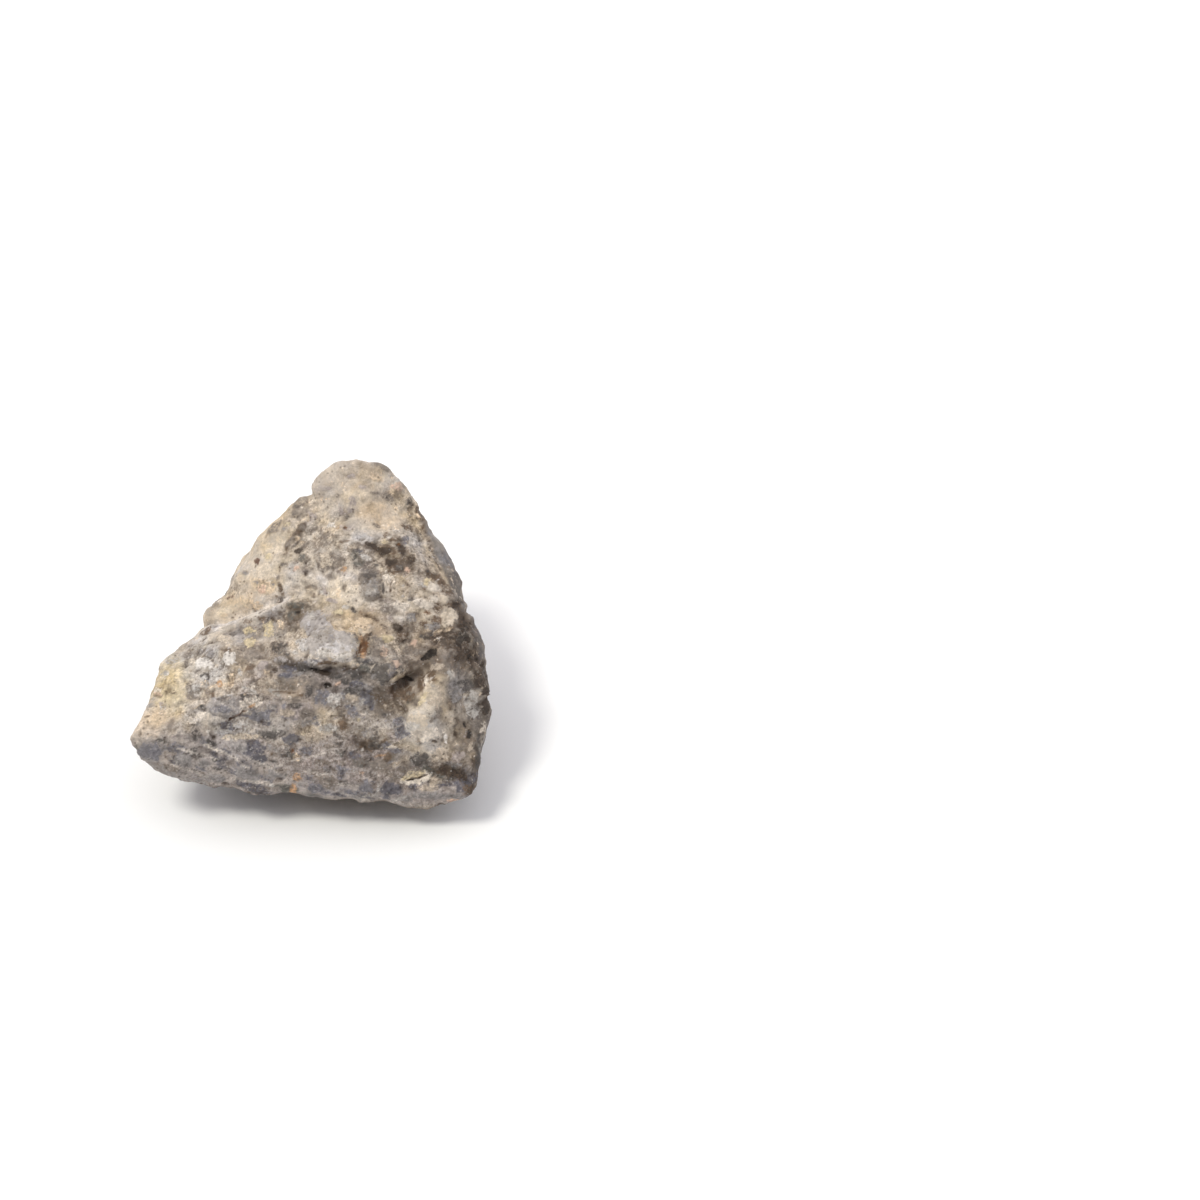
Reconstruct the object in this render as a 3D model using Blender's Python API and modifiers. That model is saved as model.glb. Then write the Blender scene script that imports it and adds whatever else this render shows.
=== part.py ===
"""A lunar meteorite fragment about 8 mm across: one wedge of weathered breccia with a rounded peak at
the back, a sloping top, a ledge along its left side, a steep dark front and a hollow on the right.
It stands on one small flat spot underneath. Blender works in metres, +Z is up and -Y is the front."""

import bmesh
import bpy
import numpy as np
from mathutils import Matrix, Vector, noise

MM = 0.001

# Size of the finished stone against the working size below, which is in millimetres.
SCALE = 1.0

# Spacing of the even skin laid over the blocks, and how often its corners are eased.
SKIN = 0.11
ROUNDING_PASSES = 6

# The stone is worn flat underneath at this height, which leaves the spot it stands on.
WORN_FLAT_AT = 0.0

TRIANGLES = 9000

# Uneven surface: size of the swellings and how high they stand.
UNEVENNESS = [(1.1, 0.055), (0.5, 0.04), (0.26, 0.022)]

# Corner points of the blocks: x to the right, y to the back, z up. Each block is the hull of its corners.
# The rounded peak at the back.
PEAK = [
    (0.5, 2.78, 5.87), (0.95, 2.78, 6.03), (1.6, 2.68, 6.02), (2.12, 2.52, 5.56), (0.0, 2.44, 5.53),
    (0.75, 3.2, 5.6), (1.8, 3.15, 5.25), (0.2, 2.9, 5.0), (1.2, 3.6, 4.2), (2.4, 2.8, 4.3),
    (0.3, 1.6, 4.6), (2.3, 1.4, 4.6), (1.2, 1.5, 5.32), (0.4, 3.6, 3.4), (2.2, 3.2, 3.4),
]

# The main mass with the sloping top, the back and the underside.
BODY = [
    (-0.25, 2.38, 5.2), (-0.76, 1.9, 4.9), (-1.24, 1.66, 4.6), (-1.56, 1.3, 4.18), (-1.84, 1.02, 3.8),
    (-1.7, 0.4, 3.45), (-0.9, 0.1, 3.6), (2.33, 2.42, 5.0), (2.64, 1.96, 4.78), (2.95, 1.69, 4.4),
    (3.28, 1.37, 4.1), (3.53, 0.73, 4.0), (3.57, 0.24, 3.8), (3.4, -0.6, 3.95), (0.6, 1.4, 5.2),
    (1.9, 1.2, 5.15), (2.5, 0.4, 4.85), (1.38, -0.03, 4.7), (0.2, 0.3, 4.35), (1.25, -1.75, 4.02),
    (2.3, -1.3, 4.0), (3.0, -1.0, 3.95),
    (2.3, 3.0, 3.9), (3.2, 2.1, 3.1), (1.0, 3.75, 3.4), (-0.9, 3.3, 3.3), (-1.75, 2.4, 2.9),
    (0.6, 3.75, 1.8), (2.6, 3.0, 1.4), (3.55, 1.0, 1.7), (-1.5, 3.0, 1.6), (-2.5, 1.6, 1.8),
    (-2.8, 0.4, 1.9), (-1.6, 1.8, -0.4), (1.6, 2.1, -0.4), (2.3, 0.4, -0.4), (-1.8, 0.1, -0.4),
    (0.2, -1.3, -0.4), (1.9, -1.2, -0.4), (3.0, -1.2, 0.6),
]

# The block that stands forward, with the ledge on its left and the steep face in front.
FRONT = [
    (-3.17, -0.25, 3.02), (-3.62, -1.18, 2.97), (-3.84, -1.95, 2.82), (-4.02, -2.68, 2.71),
    (-4.25, -3.14, 2.49), (-4.08, -3.34, 1.96), (-3.66, -3.17, 1.46), (-3.13, -3.11, 1.16),
    (-2.66, -3.25, 1.06), (-1.48, -3.4, 1.01), (-0.3, -3.5, 1.01), (0.64, -3.54, 0.86),
    (1.57, -3.54, 0.71), (2.51, -3.62, 0.66), (3.22, -3.65, 0.76), (3.6, -3.68, 0.88),
    (3.82, -3.7, 1.1), (3.89, -3.38, 1.2),
    (-2.66, 0.1, 2.9), (-1.43, -0.11, 3.6), (-0.4, -0.04, 4.02), (0.4, -0.8, 4.25), (0.75, -1.3, 4.2),
    (1.09, -1.95, 3.95), (-0.25, -2.05, 3.78), (-1.15, -2.31, 3.32), (-2.61, -2.86, 2.83),
    (0.9, -2.5, 3.3), (1.7, -2.6, 2.95), (2.05, -2.08, 3.58), (2.0, -2.56, 2.75), (2.0, -1.6, 3.9),
    (2.45, -1.7, 3.78),
    (-2.7, -0.9, 1.0), (-3.3, -1.8, 1.2), (0.0, -1.7, 0.15), (2.5, -1.7, 0.25), (3.3, -1.0, 0.9),
    (-2.6, 0.5, 1.6), (3.0, -0.4, 2.6), (1.9, -0.2, 3.4),
]

# The shoulder above the hollow on the right.
SHOULDER = [
    (2.67, -1.22, 3.95), (2.5, -1.65, 3.8), (3.03, -2.05, 3.68), (3.26, -0.69, 4.03), (3.73, -1.12, 3.8),
    (4.05, -1.29, 2.95), (4.12, -0.93, 3.1), (4.01, -0.73, 3.42), (3.87, -0.57, 3.62),
    (3.77, -0.11, 3.72), (4.14, -1.55, 2.8), (3.83, -2.06, 2.75), (3.3, 0.3, 2.2), (2.8, -1.0, 2.2),
    (3.6, -0.6, 1.2),
]

# The lobe below and to the right of the hollow.
LOBE = [
    (3.03, -2.05, 3.65), (2.55, -2.05, 3.45), (2.35, -2.25, 3.15), (2.2, -2.75, 2.62),
    (2.65, -2.6, 3.05), (2.78, -3.08, 2.5),
    (3.83, -2.06, 2.75), (4.23, -1.73, 2.32), (4.24, -1.86, 2.1), (4.12, -2.28, 2.0),
    (4.03, -2.75, 1.8), (3.97, -3.13, 1.6), (2.77, -3.5, 1.8), (2.2, -3.3, 1.8), (3.2, -1.2, 0.8),
    (3.75, -2.6, 0.95), (2.4, -1.4, 2.0),
]

# A small knob on the left edge, above the ledge.
NODULE = [
    (-2.58, 0.9, 3.02), (-2.32, 1.05, 3.25), (-2.05, 1.0, 3.45), (-2.66, 0.55, 2.85), (-2.3, 0.3, 3.1),
    (-1.7, 0.6, 3.4), (-2.25, 1.3, 2.6), (-1.5, 1.3, 2.6), (-2.5, 0.4, 2.3), (-1.5, 0.5, 2.4),
]

BLOCKS = [PEAK, BODY, FRONT, SHOULDER, LOBE, NODULE]

# Ledges: a line, the side that stands higher, its height, and how soon it rises and fades away.
LEDGES = [
    # the lip of the forward block, above its left half
    ([(-2.6, 0.3, 2.85), (-1.8, 0.05, 3.35), (-1.1, -0.05, 3.72), (-0.5, -0.08, 4.0)],
     (0.2, -1.0, 0.1), 0.13, 0.12, 0.42),
    # the edge between the light left facet and the dark front
    ([(-4.05, -3.1, 2.4), (-3.5, -3.2, 2.33), (-2.93, -3.0, 2.65), (-2.45, -2.92, 2.75), (-1.5, -2.7, 3.05)],
     (0.0, 0.3, 1.0), 0.07, 0.1, 0.4),
    # the small step under the cap of the peak
    ([(0.0, 2.3, 5.3), (0.38, 2.17, 5.42), (0.9, 1.98, 5.47)],
     (0.1, 0.4, 1.0), 0.09, 0.1, 0.45),
    # a broken edge low on the front
    ([(-2.4, -3.3, 1.75), (-1.3, -3.3, 1.95), (-0.3, -3.35, 1.9), (0.8, -3.35, 1.7)],
     (0.0, 0.4, 1.0), 0.05, 0.1, 0.35),
    # steps across the back, which the peak overhangs
    ([(-1.9, 2.6, 2.5), (-0.6, 3.3, 2.7), (0.9, 3.7, 2.6), (2.4, 3.1, 2.4)],
     (0.0, 0.2, 1.0), 0.12, 0.15, 0.6),
    ([(1.6, 3.4, 3.9), (2.5, 2.8, 3.3), (3.1, 2.1, 2.7), (3.55, 1.1, 2.2)],
     (-0.6, 0.0, 0.8), 0.09, 0.15, 0.4),
    ([(-3.2, 0.2, 2.4), (-2.7, 1.0, 2.2), (-2.2, 1.9, 2.1)],
     (0.0, 0.0, 1.0), 0.1, 0.12, 0.45),
    ([(3.5, -1.0, 1.6), (3.6, 0.2, 1.7), (3.4, 1.4, 1.6)],
     (0.0, 0.0, 1.0), 0.09, 0.12, 0.45),
]

# Marks: a line or a single point, its width and its height. A negative height is cut into the stone.
MARKS = [
    # cap of the peak and the notch at its left
    ([(-0.02, 2.42, 5.3), (0.3, 2.2, 5.42)], 0.14, -0.06),
    ([(1.7, 2.2, 5.7)], 0.35, -0.06),
    # low ridge and shallow dent high on the left slope
    ([(-0.17, 1.55, 4.98), (-0.38, 1.35, 4.82), (-0.64, 1.12, 4.61)], 0.15, 0.09),
    ([(-0.89, 1.4, 4.65)], 0.28, -0.06),
    ([(0.2, 1.75, 5.15)], 0.3, -0.05),
    # knobs and pits in the middle of the slope
    ([(1.41, -0.15, 4.65)], 0.3, 0.09),
    ([(2.09, 0.47, 4.88)], 0.22, -0.08),
    ([(1.1, 0.58, 4.91)], 0.16, -0.09),
    ([(1.75, 0.75, 5.0)], 0.18, 0.06),
    ([(0.8, 1.1, 5.0)], 0.35, 0.06),
    ([(0.43, 0.25, 4.62), (0.32, -0.31, 4.33)], 0.35, -0.06),
    ([(2.79, -0.36, 4.34)], 0.35, 0.07),
    ([(1.9, -0.6, 4.4)], 0.25, -0.05),
    ([(2.3, -0.15, 4.6)], 0.2, 0.06),
    # ridge down the right edge
    ([(2.6, 1.7, 4.75), (3.1, 0.65, 4.3), (3.5, -0.42, 3.95)], 0.2, 0.05),
    ([(2.2, 1.6, 4.95), (2.9, 0.5, 4.5)], 0.3, -0.05),
    # furrow behind the ledge and the knob at its right end
    ([(-2.5, 0.5, 2.8), (-1.8, 0.28, 3.3), (-1.1, 0.16, 3.75), (-0.5, 0.06, 4.1)], 0.14, -0.14),
    ([(-0.35, -0.35, 4.03)], 0.26, 0.11),
    ([(0.1, -0.6, 4.1)], 0.18, -0.05),
    # broad pale clast, with the crevice under it
    ([(0.3, -1.35, 4.08), (0.7, -1.45, 4.1)], 0.4, 0.11),
    ([(-0.73, -1.95, 3.69), (-0.25, -2.07, 3.74), (0.33, -2.16, 3.69), (0.8, -2.04, 3.83),
      (1.09, -1.96, 3.87)], 0.13, -0.16),
    ([(0.05, -2.12, 3.72), (0.33, -2.16, 3.69)], 0.14, -0.12),
    ([(1.3, -1.65, 4.0)], 0.16, -0.08),
    # light facet on the left
    ([(-1.97, -1.43, 3.47)], 0.3, 0.07),
    ([(-2.49, -2.2, 3.21)], 0.35, -0.06),
    ([(-3.1, -1.55, 3.1)], 0.3, 0.05),
    ([(-1.2, -1.2, 3.65)], 0.28, -0.06),
    ([(-3.4, -2.3, 2.85)], 0.25, -0.04),
    ([(-4.2, -2.95, 2.72)], 0.22, -0.07),
    ([(-1.95, -2.68, 3.07)], 0.32, 0.07),
    # lumps and dents of the front
    ([(-1.45, -3.22, 2.22)], 0.3, 0.07),
    ([(-0.74, -3.05, 2.47)], 0.24, 0.06),
    ([(-2.5, -3.21, 2.29)], 0.26, 0.05),
    ([(-3.21, -3.29, 2.08)], 0.25, 0.05),
    ([(0.42, -3.33, 1.92)], 0.3, 0.05),
    ([(0.79, -2.99, 2.47)], 0.35, 0.06),
    ([(-0.29, -3.46, 1.64)], 0.22, -0.05),
    ([(1.35, -3.56, 1.36)], 0.28, 0.06),
    ([(1.72, -3.22, 2.03)], 0.28, -0.05),
    ([(-0.27, -2.95, 2.6)], 0.2, -0.06),
    ([(-1.7, -3.42, 1.52)], 0.25, -0.04),
    ([(0.4, -2.36, 3.46)], 0.1, -0.15),
    ([(2.11, -3.56, 1.41), (2.81, -3.45, 1.66)], 0.1, -0.06),
    ([(0.4, -3.5, 0.95), (0.75, -3.5, 0.9)], 0.25, -0.05),
    ([(-1.7, -3.4, 0.95)], 0.3, -0.09),
    # crease beside the lobe, deepest in the middle, and the smooth dent to its left
    ([(2.95, -1.75, 3.75), (2.7, -1.9, 3.6), (2.4, -2.1, 3.35), (2.12, -2.3, 3.15), (2.0, -2.45, 3.0),
      (2.05, -2.55, 2.85), (2.2, -2.75, 2.65)], 0.15, -0.15),
    ([(2.5, -2.05, 3.42), (2.15, -2.25, 3.2)], 0.17, -0.18),
    ([(1.72, -2.42, 3.05)], 0.26, -0.08),
    ([(1.62, -2.2, 3.4)], 0.24, 0.09),
    ([(2.0, -1.95, 3.7)], 0.16, 0.06),
    # lobe beside it
    ([(2.71, -2.74, 2.86)], 0.4, 0.08),
    ([(2.65, -3.4, 1.87)], 0.25, -0.07),
    ([(3.3, -3.3, 1.7)], 0.25, 0.05),
    ([(3.6, -2.5, 2.35)], 0.25, -0.05),
    ([(3.95, -0.85, 3.35)], 0.25, 0.05),
    ([(4.05, -1.45, 2.95)], 0.18, -0.06),
    # back, underside and flanks
    ([(1.0, 3.7, 3.2)], 0.6, -0.12),
    ([(-0.8, 3.3, 2.9)], 0.45, 0.1),
    ([(2.7, 2.7, 3.0)], 0.45, -0.1),
    ([(0.2, 3.3, 4.3)], 0.4, 0.08),
    ([(-1.3, 2.6, 3.7)], 0.4, -0.09),
    ([(-2.4, 1.9, 2.2)], 0.4, 0.1),
    ([(0.4, 3.6, 1.6)], 0.5, 0.1),
    ([(-1.4, 3.0, 1.2)], 0.4, -0.1),
    ([(3.6, 0.9, 2.9)], 0.35, 0.08),
    ([(3.8, -0.3, 2.4)], 0.35, -0.08),
    ([(3.2, 1.6, 0.9)], 0.4, -0.08),
    ([(-3.3, -1.2, 1.9)], 0.45, -0.12),
    ([(-2.9, 0.3, 2.1)], 0.35, 0.08),
    ([(-1.5, -2.6, 0.6)], 0.5, -0.08),
    ([(1.2, -2.8, 0.4)], 0.5, -0.06),
]


def block(corners):
    """A closed mesh wrapped round its corner points."""
    work = bmesh.new()
    for corner in corners:
        work.verts.new(corner)
    bmesh.ops.convex_hull(work, input=work.verts[:])
    inside = [vert for vert in work.verts if not vert.link_faces]
    bmesh.ops.delete(work, geom=inside, context="VERTS")
    mesh = bpy.data.meshes.new("block")
    work.to_mesh(mesh)
    work.free()
    return mesh


def with_modifiers(mesh, add_modifiers):
    """The mesh after the modifiers that the function adds to it."""
    carrier = bpy.data.objects.new("carrier", mesh)
    bpy.context.scene.collection.objects.link(carrier)
    add_modifiers(carrier)
    bpy.context.view_layer.update()
    evaluated = carrier.evaluated_get(bpy.context.evaluated_depsgraph_get())
    result = bpy.data.meshes.new_from_object(evaluated)
    bpy.data.objects.remove(carrier)
    bpy.data.meshes.remove(mesh)
    return result


def blocked_out():
    """All the blocks under one even skin, with eased corners."""
    work = bmesh.new()
    for corners in BLOCKS:
        mesh = block(corners)
        work.from_mesh(mesh)
        bpy.data.meshes.remove(mesh)
    mesh = bpy.data.meshes.new("blocks")
    work.to_mesh(mesh)
    work.free()

    def skin_and_ease(carrier):
        skin = carrier.modifiers.new("skin", "REMESH")
        skin.mode = "VOXEL"
        skin.voxel_size = SKIN
        ease = carrier.modifiers.new("ease", "SMOOTH")
        ease.iterations = ROUNDING_PASSES
        ease.factor = 0.5

    return with_modifiers(mesh, skin_and_ease)


def coordinates(mesh):
    points = np.empty(len(mesh.vertices) * 3, np.float32)
    mesh.vertices.foreach_get("co", points)
    return points.reshape(-1, 3).astype(float)


def normals(mesh):
    directions = np.empty(len(mesh.vertices) * 3, np.float32)
    mesh.vertices.foreach_get("normal", directions)
    return directions.reshape(-1, 3).astype(float)


def raise_surface(mesh, heights):
    """Moves every point of the mesh along its own normal."""
    moved = coordinates(mesh) + normals(mesh) * heights[:, None]
    mesh.vertices.foreach_set("co", moved.astype(np.float32).ravel())
    mesh.update()


def from_line(points, line):
    """The offset of every point from the nearest place on a line of straight pieces."""
    line = np.array(line)
    best = points - line[0]
    shortest = (best**2).sum(axis=1)
    for start, end in zip(line[:-1], line[1:]):
        run = end - start
        share = np.clip((points - start) @ run / (run @ run), 0.0, 1.0)
        offset = points - start - share[:, None] * run
        squared = (offset**2).sum(axis=1)
        nearer = squared < shortest
        best[nearer] = offset[nearer]
        shortest[nearer] = squared[nearer]
    return best, np.sqrt(shortest)


def ledge_heights(points):
    heights = np.zeros(len(points))
    for line, side, height, rise, fade in LEDGES:
        offset, distance = from_line(points, line)
        across = offset @ np.array(Vector(side).normalized())
        step = np.clip(across / rise * 0.5 + 0.5, 0.0, 1.0)
        step = step * step * (3.0 - 2.0 * step)
        heights += height * step * np.exp(-((distance / fade) ** 2))
    return heights


def mark_heights(points):
    heights = np.zeros(len(points))
    for line, width, height in MARKS:
        distance = from_line(points, line)[1]
        heights += height * np.exp(-((distance / width) ** 2))
    return heights


def uneven_heights(points):
    heights = np.zeros(len(points))
    for size, height in UNEVENNESS:
        swell = [noise.noise(Vector(point) / size + Vector((height * 90.0, 3.7, 8.1))) for point in points]
        heights += height * 2.0 * np.array(swell)
    return heights


def thinned(mesh):
    """The same surface with fewer triangles, the flat parts thinned first."""
    mesh.calc_loop_triangles()
    share = TRIANGLES / len(mesh.loop_triangles)

    def thin(carrier):
        fewer = carrier.modifiers.new("fewer", "DECIMATE")
        fewer.ratio = share
        fewer.use_collapse_triangulate = True

    return with_modifiers(mesh, thin)


def worn_flat(mesh):
    """Cuts the underside off level and closes it with one flat face."""
    work = bmesh.new()
    work.from_mesh(mesh)
    everything = work.verts[:] + work.edges[:] + work.faces[:]
    level = (0.0, 0.0, WORN_FLAT_AT)
    bmesh.ops.bisect_plane(
        work, geom=everything, dist=0.03, plane_co=level, plane_no=(0, 0, 1), clear_inner=True
    )
    rim = [edge for edge in work.edges if edge.is_boundary]
    for edge in rim:
        for vert in edge.verts:
            vert.co.z = WORN_FLAT_AT
    bmesh.ops.edgeloop_fill(work, edges=rim)
    bmesh.ops.triangulate(work, faces=work.faces[:])
    bmesh.ops.recalc_face_normals(work, faces=work.faces[:])
    work.to_mesh(mesh)
    work.free()


def stand_on_origin(mesh):
    """Centres the stone on the origin and puts its flat spot at height zero."""
    points = coordinates(mesh)
    low = points.min(axis=0)
    high = points.max(axis=0)
    mesh.transform(Matrix.Translation((-(low[0] + high[0]) / 2, -(low[1] + high[1]) / 2, -low[2])))


def stone_material():
    material = bpy.data.materials.new("stone")
    material.use_nodes = True
    shader = material.node_tree.nodes["Principled BSDF"]
    shader.inputs["Base Color"].default_value = (0.37, 0.32, 0.26, 1.0)
    shader.inputs["Roughness"].default_value = 0.85
    shader.inputs["Metallic"].default_value = 0.0
    return material


def main():
    for leftover in list(bpy.data.objects):
        bpy.data.objects.remove(leftover)
    mesh = blocked_out()
    points = coordinates(mesh)
    raise_surface(mesh, ledge_heights(points) + mark_heights(points))
    raise_surface(mesh, uneven_heights(coordinates(mesh)))
    mesh = thinned(mesh)
    worn_flat(mesh)
    stand_on_origin(mesh)
    mesh.transform(Matrix.Scale(SCALE * MM, 4))
    mesh.shade_smooth()
    mesh.name = "meteorite"
    mesh.materials.clear()
    mesh.materials.append(stone_material())
    stone = bpy.data.objects.new("meteorite", mesh)
    collection = bpy.data.collections.new("lunar_meteorite")
    bpy.context.scene.collection.children.link(collection)
    collection.objects.link(stone)


main()
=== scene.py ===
"""Looks of a lunar meteorite fragment: a weathered breccia of tan matrix set with dark, grey and pale
clasts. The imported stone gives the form; this script lays a fine skin over it, carves its small relief
and paints its clasts, all in code. Lengths are in millimetres until the skin is put in place."""

import math
from itertools import product

import bpy
import numpy as np
from mathutils import Matrix, Vector
from mathutils.bvhtree import BVHTree


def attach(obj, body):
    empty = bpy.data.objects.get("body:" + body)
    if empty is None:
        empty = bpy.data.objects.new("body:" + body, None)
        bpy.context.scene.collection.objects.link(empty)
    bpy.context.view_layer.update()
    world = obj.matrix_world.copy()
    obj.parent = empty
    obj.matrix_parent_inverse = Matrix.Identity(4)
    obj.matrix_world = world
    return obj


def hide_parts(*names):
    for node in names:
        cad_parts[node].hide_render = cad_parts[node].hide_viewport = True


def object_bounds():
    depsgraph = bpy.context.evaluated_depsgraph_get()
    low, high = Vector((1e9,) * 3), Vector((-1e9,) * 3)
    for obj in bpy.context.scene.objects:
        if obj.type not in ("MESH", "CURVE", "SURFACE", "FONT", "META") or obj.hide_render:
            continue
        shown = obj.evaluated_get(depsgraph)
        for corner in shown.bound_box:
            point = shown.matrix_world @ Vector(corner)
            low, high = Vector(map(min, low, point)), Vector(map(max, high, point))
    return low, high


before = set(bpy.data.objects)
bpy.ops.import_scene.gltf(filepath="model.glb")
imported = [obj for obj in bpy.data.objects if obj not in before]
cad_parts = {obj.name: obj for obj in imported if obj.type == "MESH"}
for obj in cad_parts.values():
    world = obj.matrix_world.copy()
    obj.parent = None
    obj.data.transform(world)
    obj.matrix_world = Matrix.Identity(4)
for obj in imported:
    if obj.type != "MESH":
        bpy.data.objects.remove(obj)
cad_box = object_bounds()

MM = 0.001
PICTURE = 1200

# The camera: its place in mm, its direction in degrees, its focal length in picture widths, and the
# width of its sensor in mm.
CAMERA_PLACE = Vector((7.092, -162.139, 148.553))
CAMERA_AZIMUTH = 0.098
CAMERA_DOWN = 41.732
CAMERA_ROLL = -0.546
CAMERA_FOCAL = 7.6727
SENSOR = 36.0

# Brightness of the room where it is darkest, low in front, and overhead, how much lighter its back is,
# and its colour.
SKY_LOW = 0.075
SKY_HIGH = 1.09
SKY_BACK = 0.45
SKY_COLOUR = (0.965, 0.96, 1.0, 1.0)

# The key lamp: where its light comes from, its strength, how wide it looks in degrees, and its colour.
KEY_FROM = Vector((-0.394, -0.256, 0.882))
KEY_STRENGTH = 1.55
KEY_WIDTH = 16
KEY_COLOUR = (1.0, 0.985, 0.90)

# The room is this much dimmer than what would show a tone as itself.
EXPOSURE = 1.05

# The floor, in metres: half its width, how far it lies under the stone, and the colours of its paper.
FLOOR_HALF = 0.6
FLOOR_GAP = 0.00001
FLOOR_COLOURS = [(0.95, 0.95, 0.95, 1.0), (0.96, 0.96, 0.955, 1.0)]

# The fine skin: its spacing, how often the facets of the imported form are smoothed, how deep its bump is,
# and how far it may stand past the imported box, as a share of each side.
SKIN = 0.0515
SMOOTHING = 7
BUMP = 0.045
SPARE = 0.012

# What is painted on the skin's points for its material.
POINT_COLOURS = ("ground", "clast")
POINT_VALUES = ("edge", "rag", "whole", "fresh", "calm", "grime", "hollow", "knob")

# Whether the picture shows a point: how far off the skin a look at the camera starts, in mm, and how often
# small gaps in what it shows are closed and then blended.
OFF_THE_SKIN = 0.08
CLOSINGS = 4
BLENDINGS = 12

# How many picture pixels a mm on the stone takes, and how far a clast's edge may stray from its ellipse.
PIXELS_PER_MM = 42.8
MOST_STRAY = 14

# Unnamed clasts: cell size in mm, seed, their share of the tan crust and of the grey stone, how many the
# clasts of the picture take the place of, and the gap between neighbours in mm. QUIET is the part that is
# also taken away from the crust in the picture.
GENERIC = [
    (0.85, 301, 0.16, 0.25, 1.0, 0.06),
    (0.46, 311, 0.22, 0.84, 0.3, 0.032),
    (0.24, 321, 0.24, 0.70, 0.0, 0.018),
]
QUIET = 0.25

# The clasts of the stone lie flattened: how the axes are scaled before its cells are laid out.
FLOW = np.array([[0.62, 0.0, 0.16], [0.0, 0.8, 0.0], [0.30, 0.0, 1.25]])

# Grooves and brows: points in the picture, half width in pixels, height in mm (below 0 for a groove),
# and how much dirt and painted shade darkens them.
STROKES = [
    ([(204, 640), (222, 631), (245, 622), (262, 615), (280, 608), (292, 602), (302, 604)], 4, 0.06, 0.0),
    ([(303, 606), (318, 613), (330, 622), (345, 627), (354, 631)], 3, -0.04, 0.3),
    ([(357, 632), (360, 646), (357, 660)], 2.5, -0.06, 0.5),
    ([(306, 668), (314, 671), (324, 673), (340, 669), (356, 666)], 2.6, -0.08, 0.9),
    ([(262, 652), (268, 660), (282, 664), (298, 668)], 4, -0.05, 0.5),
    ([(426, 669), (418, 675), (410, 680), (402, 684), (394, 691)], 6, -0.16, 0.7),
    ([(398, 685), (394, 694), (397, 703), (404, 711)], 3, -0.04, 0.5),
    ([(362, 615), (375, 618), (382, 623), (388, 628), (398, 634), (404, 645)], 2.5, -0.05, 0.6),
    ([(303, 526), (296, 533), (292, 541), (288, 548)], 4, 0.04, 0.5),
    ([(284, 563), (277, 575)], 3, -0.02, 0.4),
    ([(203, 708), (216, 717), (228, 719), (240, 716), (246, 709), (252, 704)], 2, -0.035, 0.35),
    ([(133, 738), (150, 742), (165, 744), (175, 741), (185, 727)], 3, -0.03, 0.2),
    ([(406, 781), (416, 778.5), (428, 774.5)], 2.0, -0.07, 0.5),
    ([(425, 545), (440, 575), (448, 592), (458, 610), (470, 635), (480, 668)], 4, 0.03, 0.0),
    ([(246, 663), (258, 668), (270, 668)], 2.5, -0.03, 0.5),
    ([(192, 649), (186, 655), (186, 666), (190, 676)], 2.5, -0.04, 0.5),
    ([(353, 685), (362, 687), (366, 693)], 2, -0.04, 0.5),
    ([(404, 582), (410, 588), (412, 600)], 2.5, -0.04, 0.5),
    ([(352, 545), (366, 546), (384, 556), (402, 560), (412, 570)], 3, -0.05, 0.5),
    ([(359, 578), (360, 592), (370, 602), (382, 596), (384, 584)], 2.5, -0.05, 0.4),
]

# Broad lumps and dips that round off the outline: points, half width, height in mm.
LUMPS = [
    ([(316, 486), (322, 474), (334, 465)], 16, 0.10),
    ([(302, 500), (310, 498)], 7, 0.06),
    ([(428, 521), (432, 528), (436, 537), (440, 546)], 12, 0.08),
    ([(480, 670), (481, 684)], 13, 0.08),
    ([(482, 690), (483, 702)], 15, 0.12),
    ([(484, 696), (487, 698)], 7, 0.12),
    ([(466, 606), (469, 612), (471, 618)], 8, 0.08),
    ([(484, 648), (486, 660)], 10, 0.07),
    ([(206, 606), (206, 616)], 12, 0.08),
    ([(196, 636), (188, 640)], 8, -0.04),
    ([(170, 650), (162, 664)], 12, 0.08),
    ([(136, 742), (142, 756)], 12, 0.07),
    ([(378, 460), (392, 470), (402, 488), (412, 504)], 12, 0.04),
    ([(482, 728), (482, 764)], 12, -0.08),
]

# Where a dent of the form is eased away: centre and radius in the picture, and how many times.
EASED = [
    (487, 694, 18, 40),
]

# Tones of the stone as 8-bit sRGB.
TONES = {
    "cream": (219, 207, 193),
    "tan": (205, 190, 171),
    "dull_tan": (184, 169, 152),
    "ochre": (214, 192, 165),
    "yellow": (211, 194, 161),
    "dull_yellow": (197, 180, 146),
    "white": (220, 213, 206),
    "chalk": (203, 197, 192),
    "pale_grey": (184, 178, 172),
    "ash": (164, 157, 154),
    "grey": (138, 133, 131),
    "blue_grey": (114, 112, 118),
    "slate": (94, 92, 99),
    "dark_grey": (82, 77, 74),
    "green_grey": (95, 93, 87),
    "warm_grey": (124, 114, 105),
    "mauve": (163, 151, 146),
    "umber": (44, 36, 30),
    "brown": (104, 86, 70),
    "dark_brown": (66, 54, 45),
    "black": (30, 25, 22),
    "rust": (106, 72, 46),
    "orange": (186, 146, 108),
    "pink": (202, 172, 152),
    "red_brown": (100, 72, 58),
    "smudge_and_shade": (100, 87, 75),
    "haze": (178, 167, 161),
    "frost": (201, 197, 199),
    "vein": (194, 184, 175),
    "flank_shade": (110, 104, 101),
}
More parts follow.
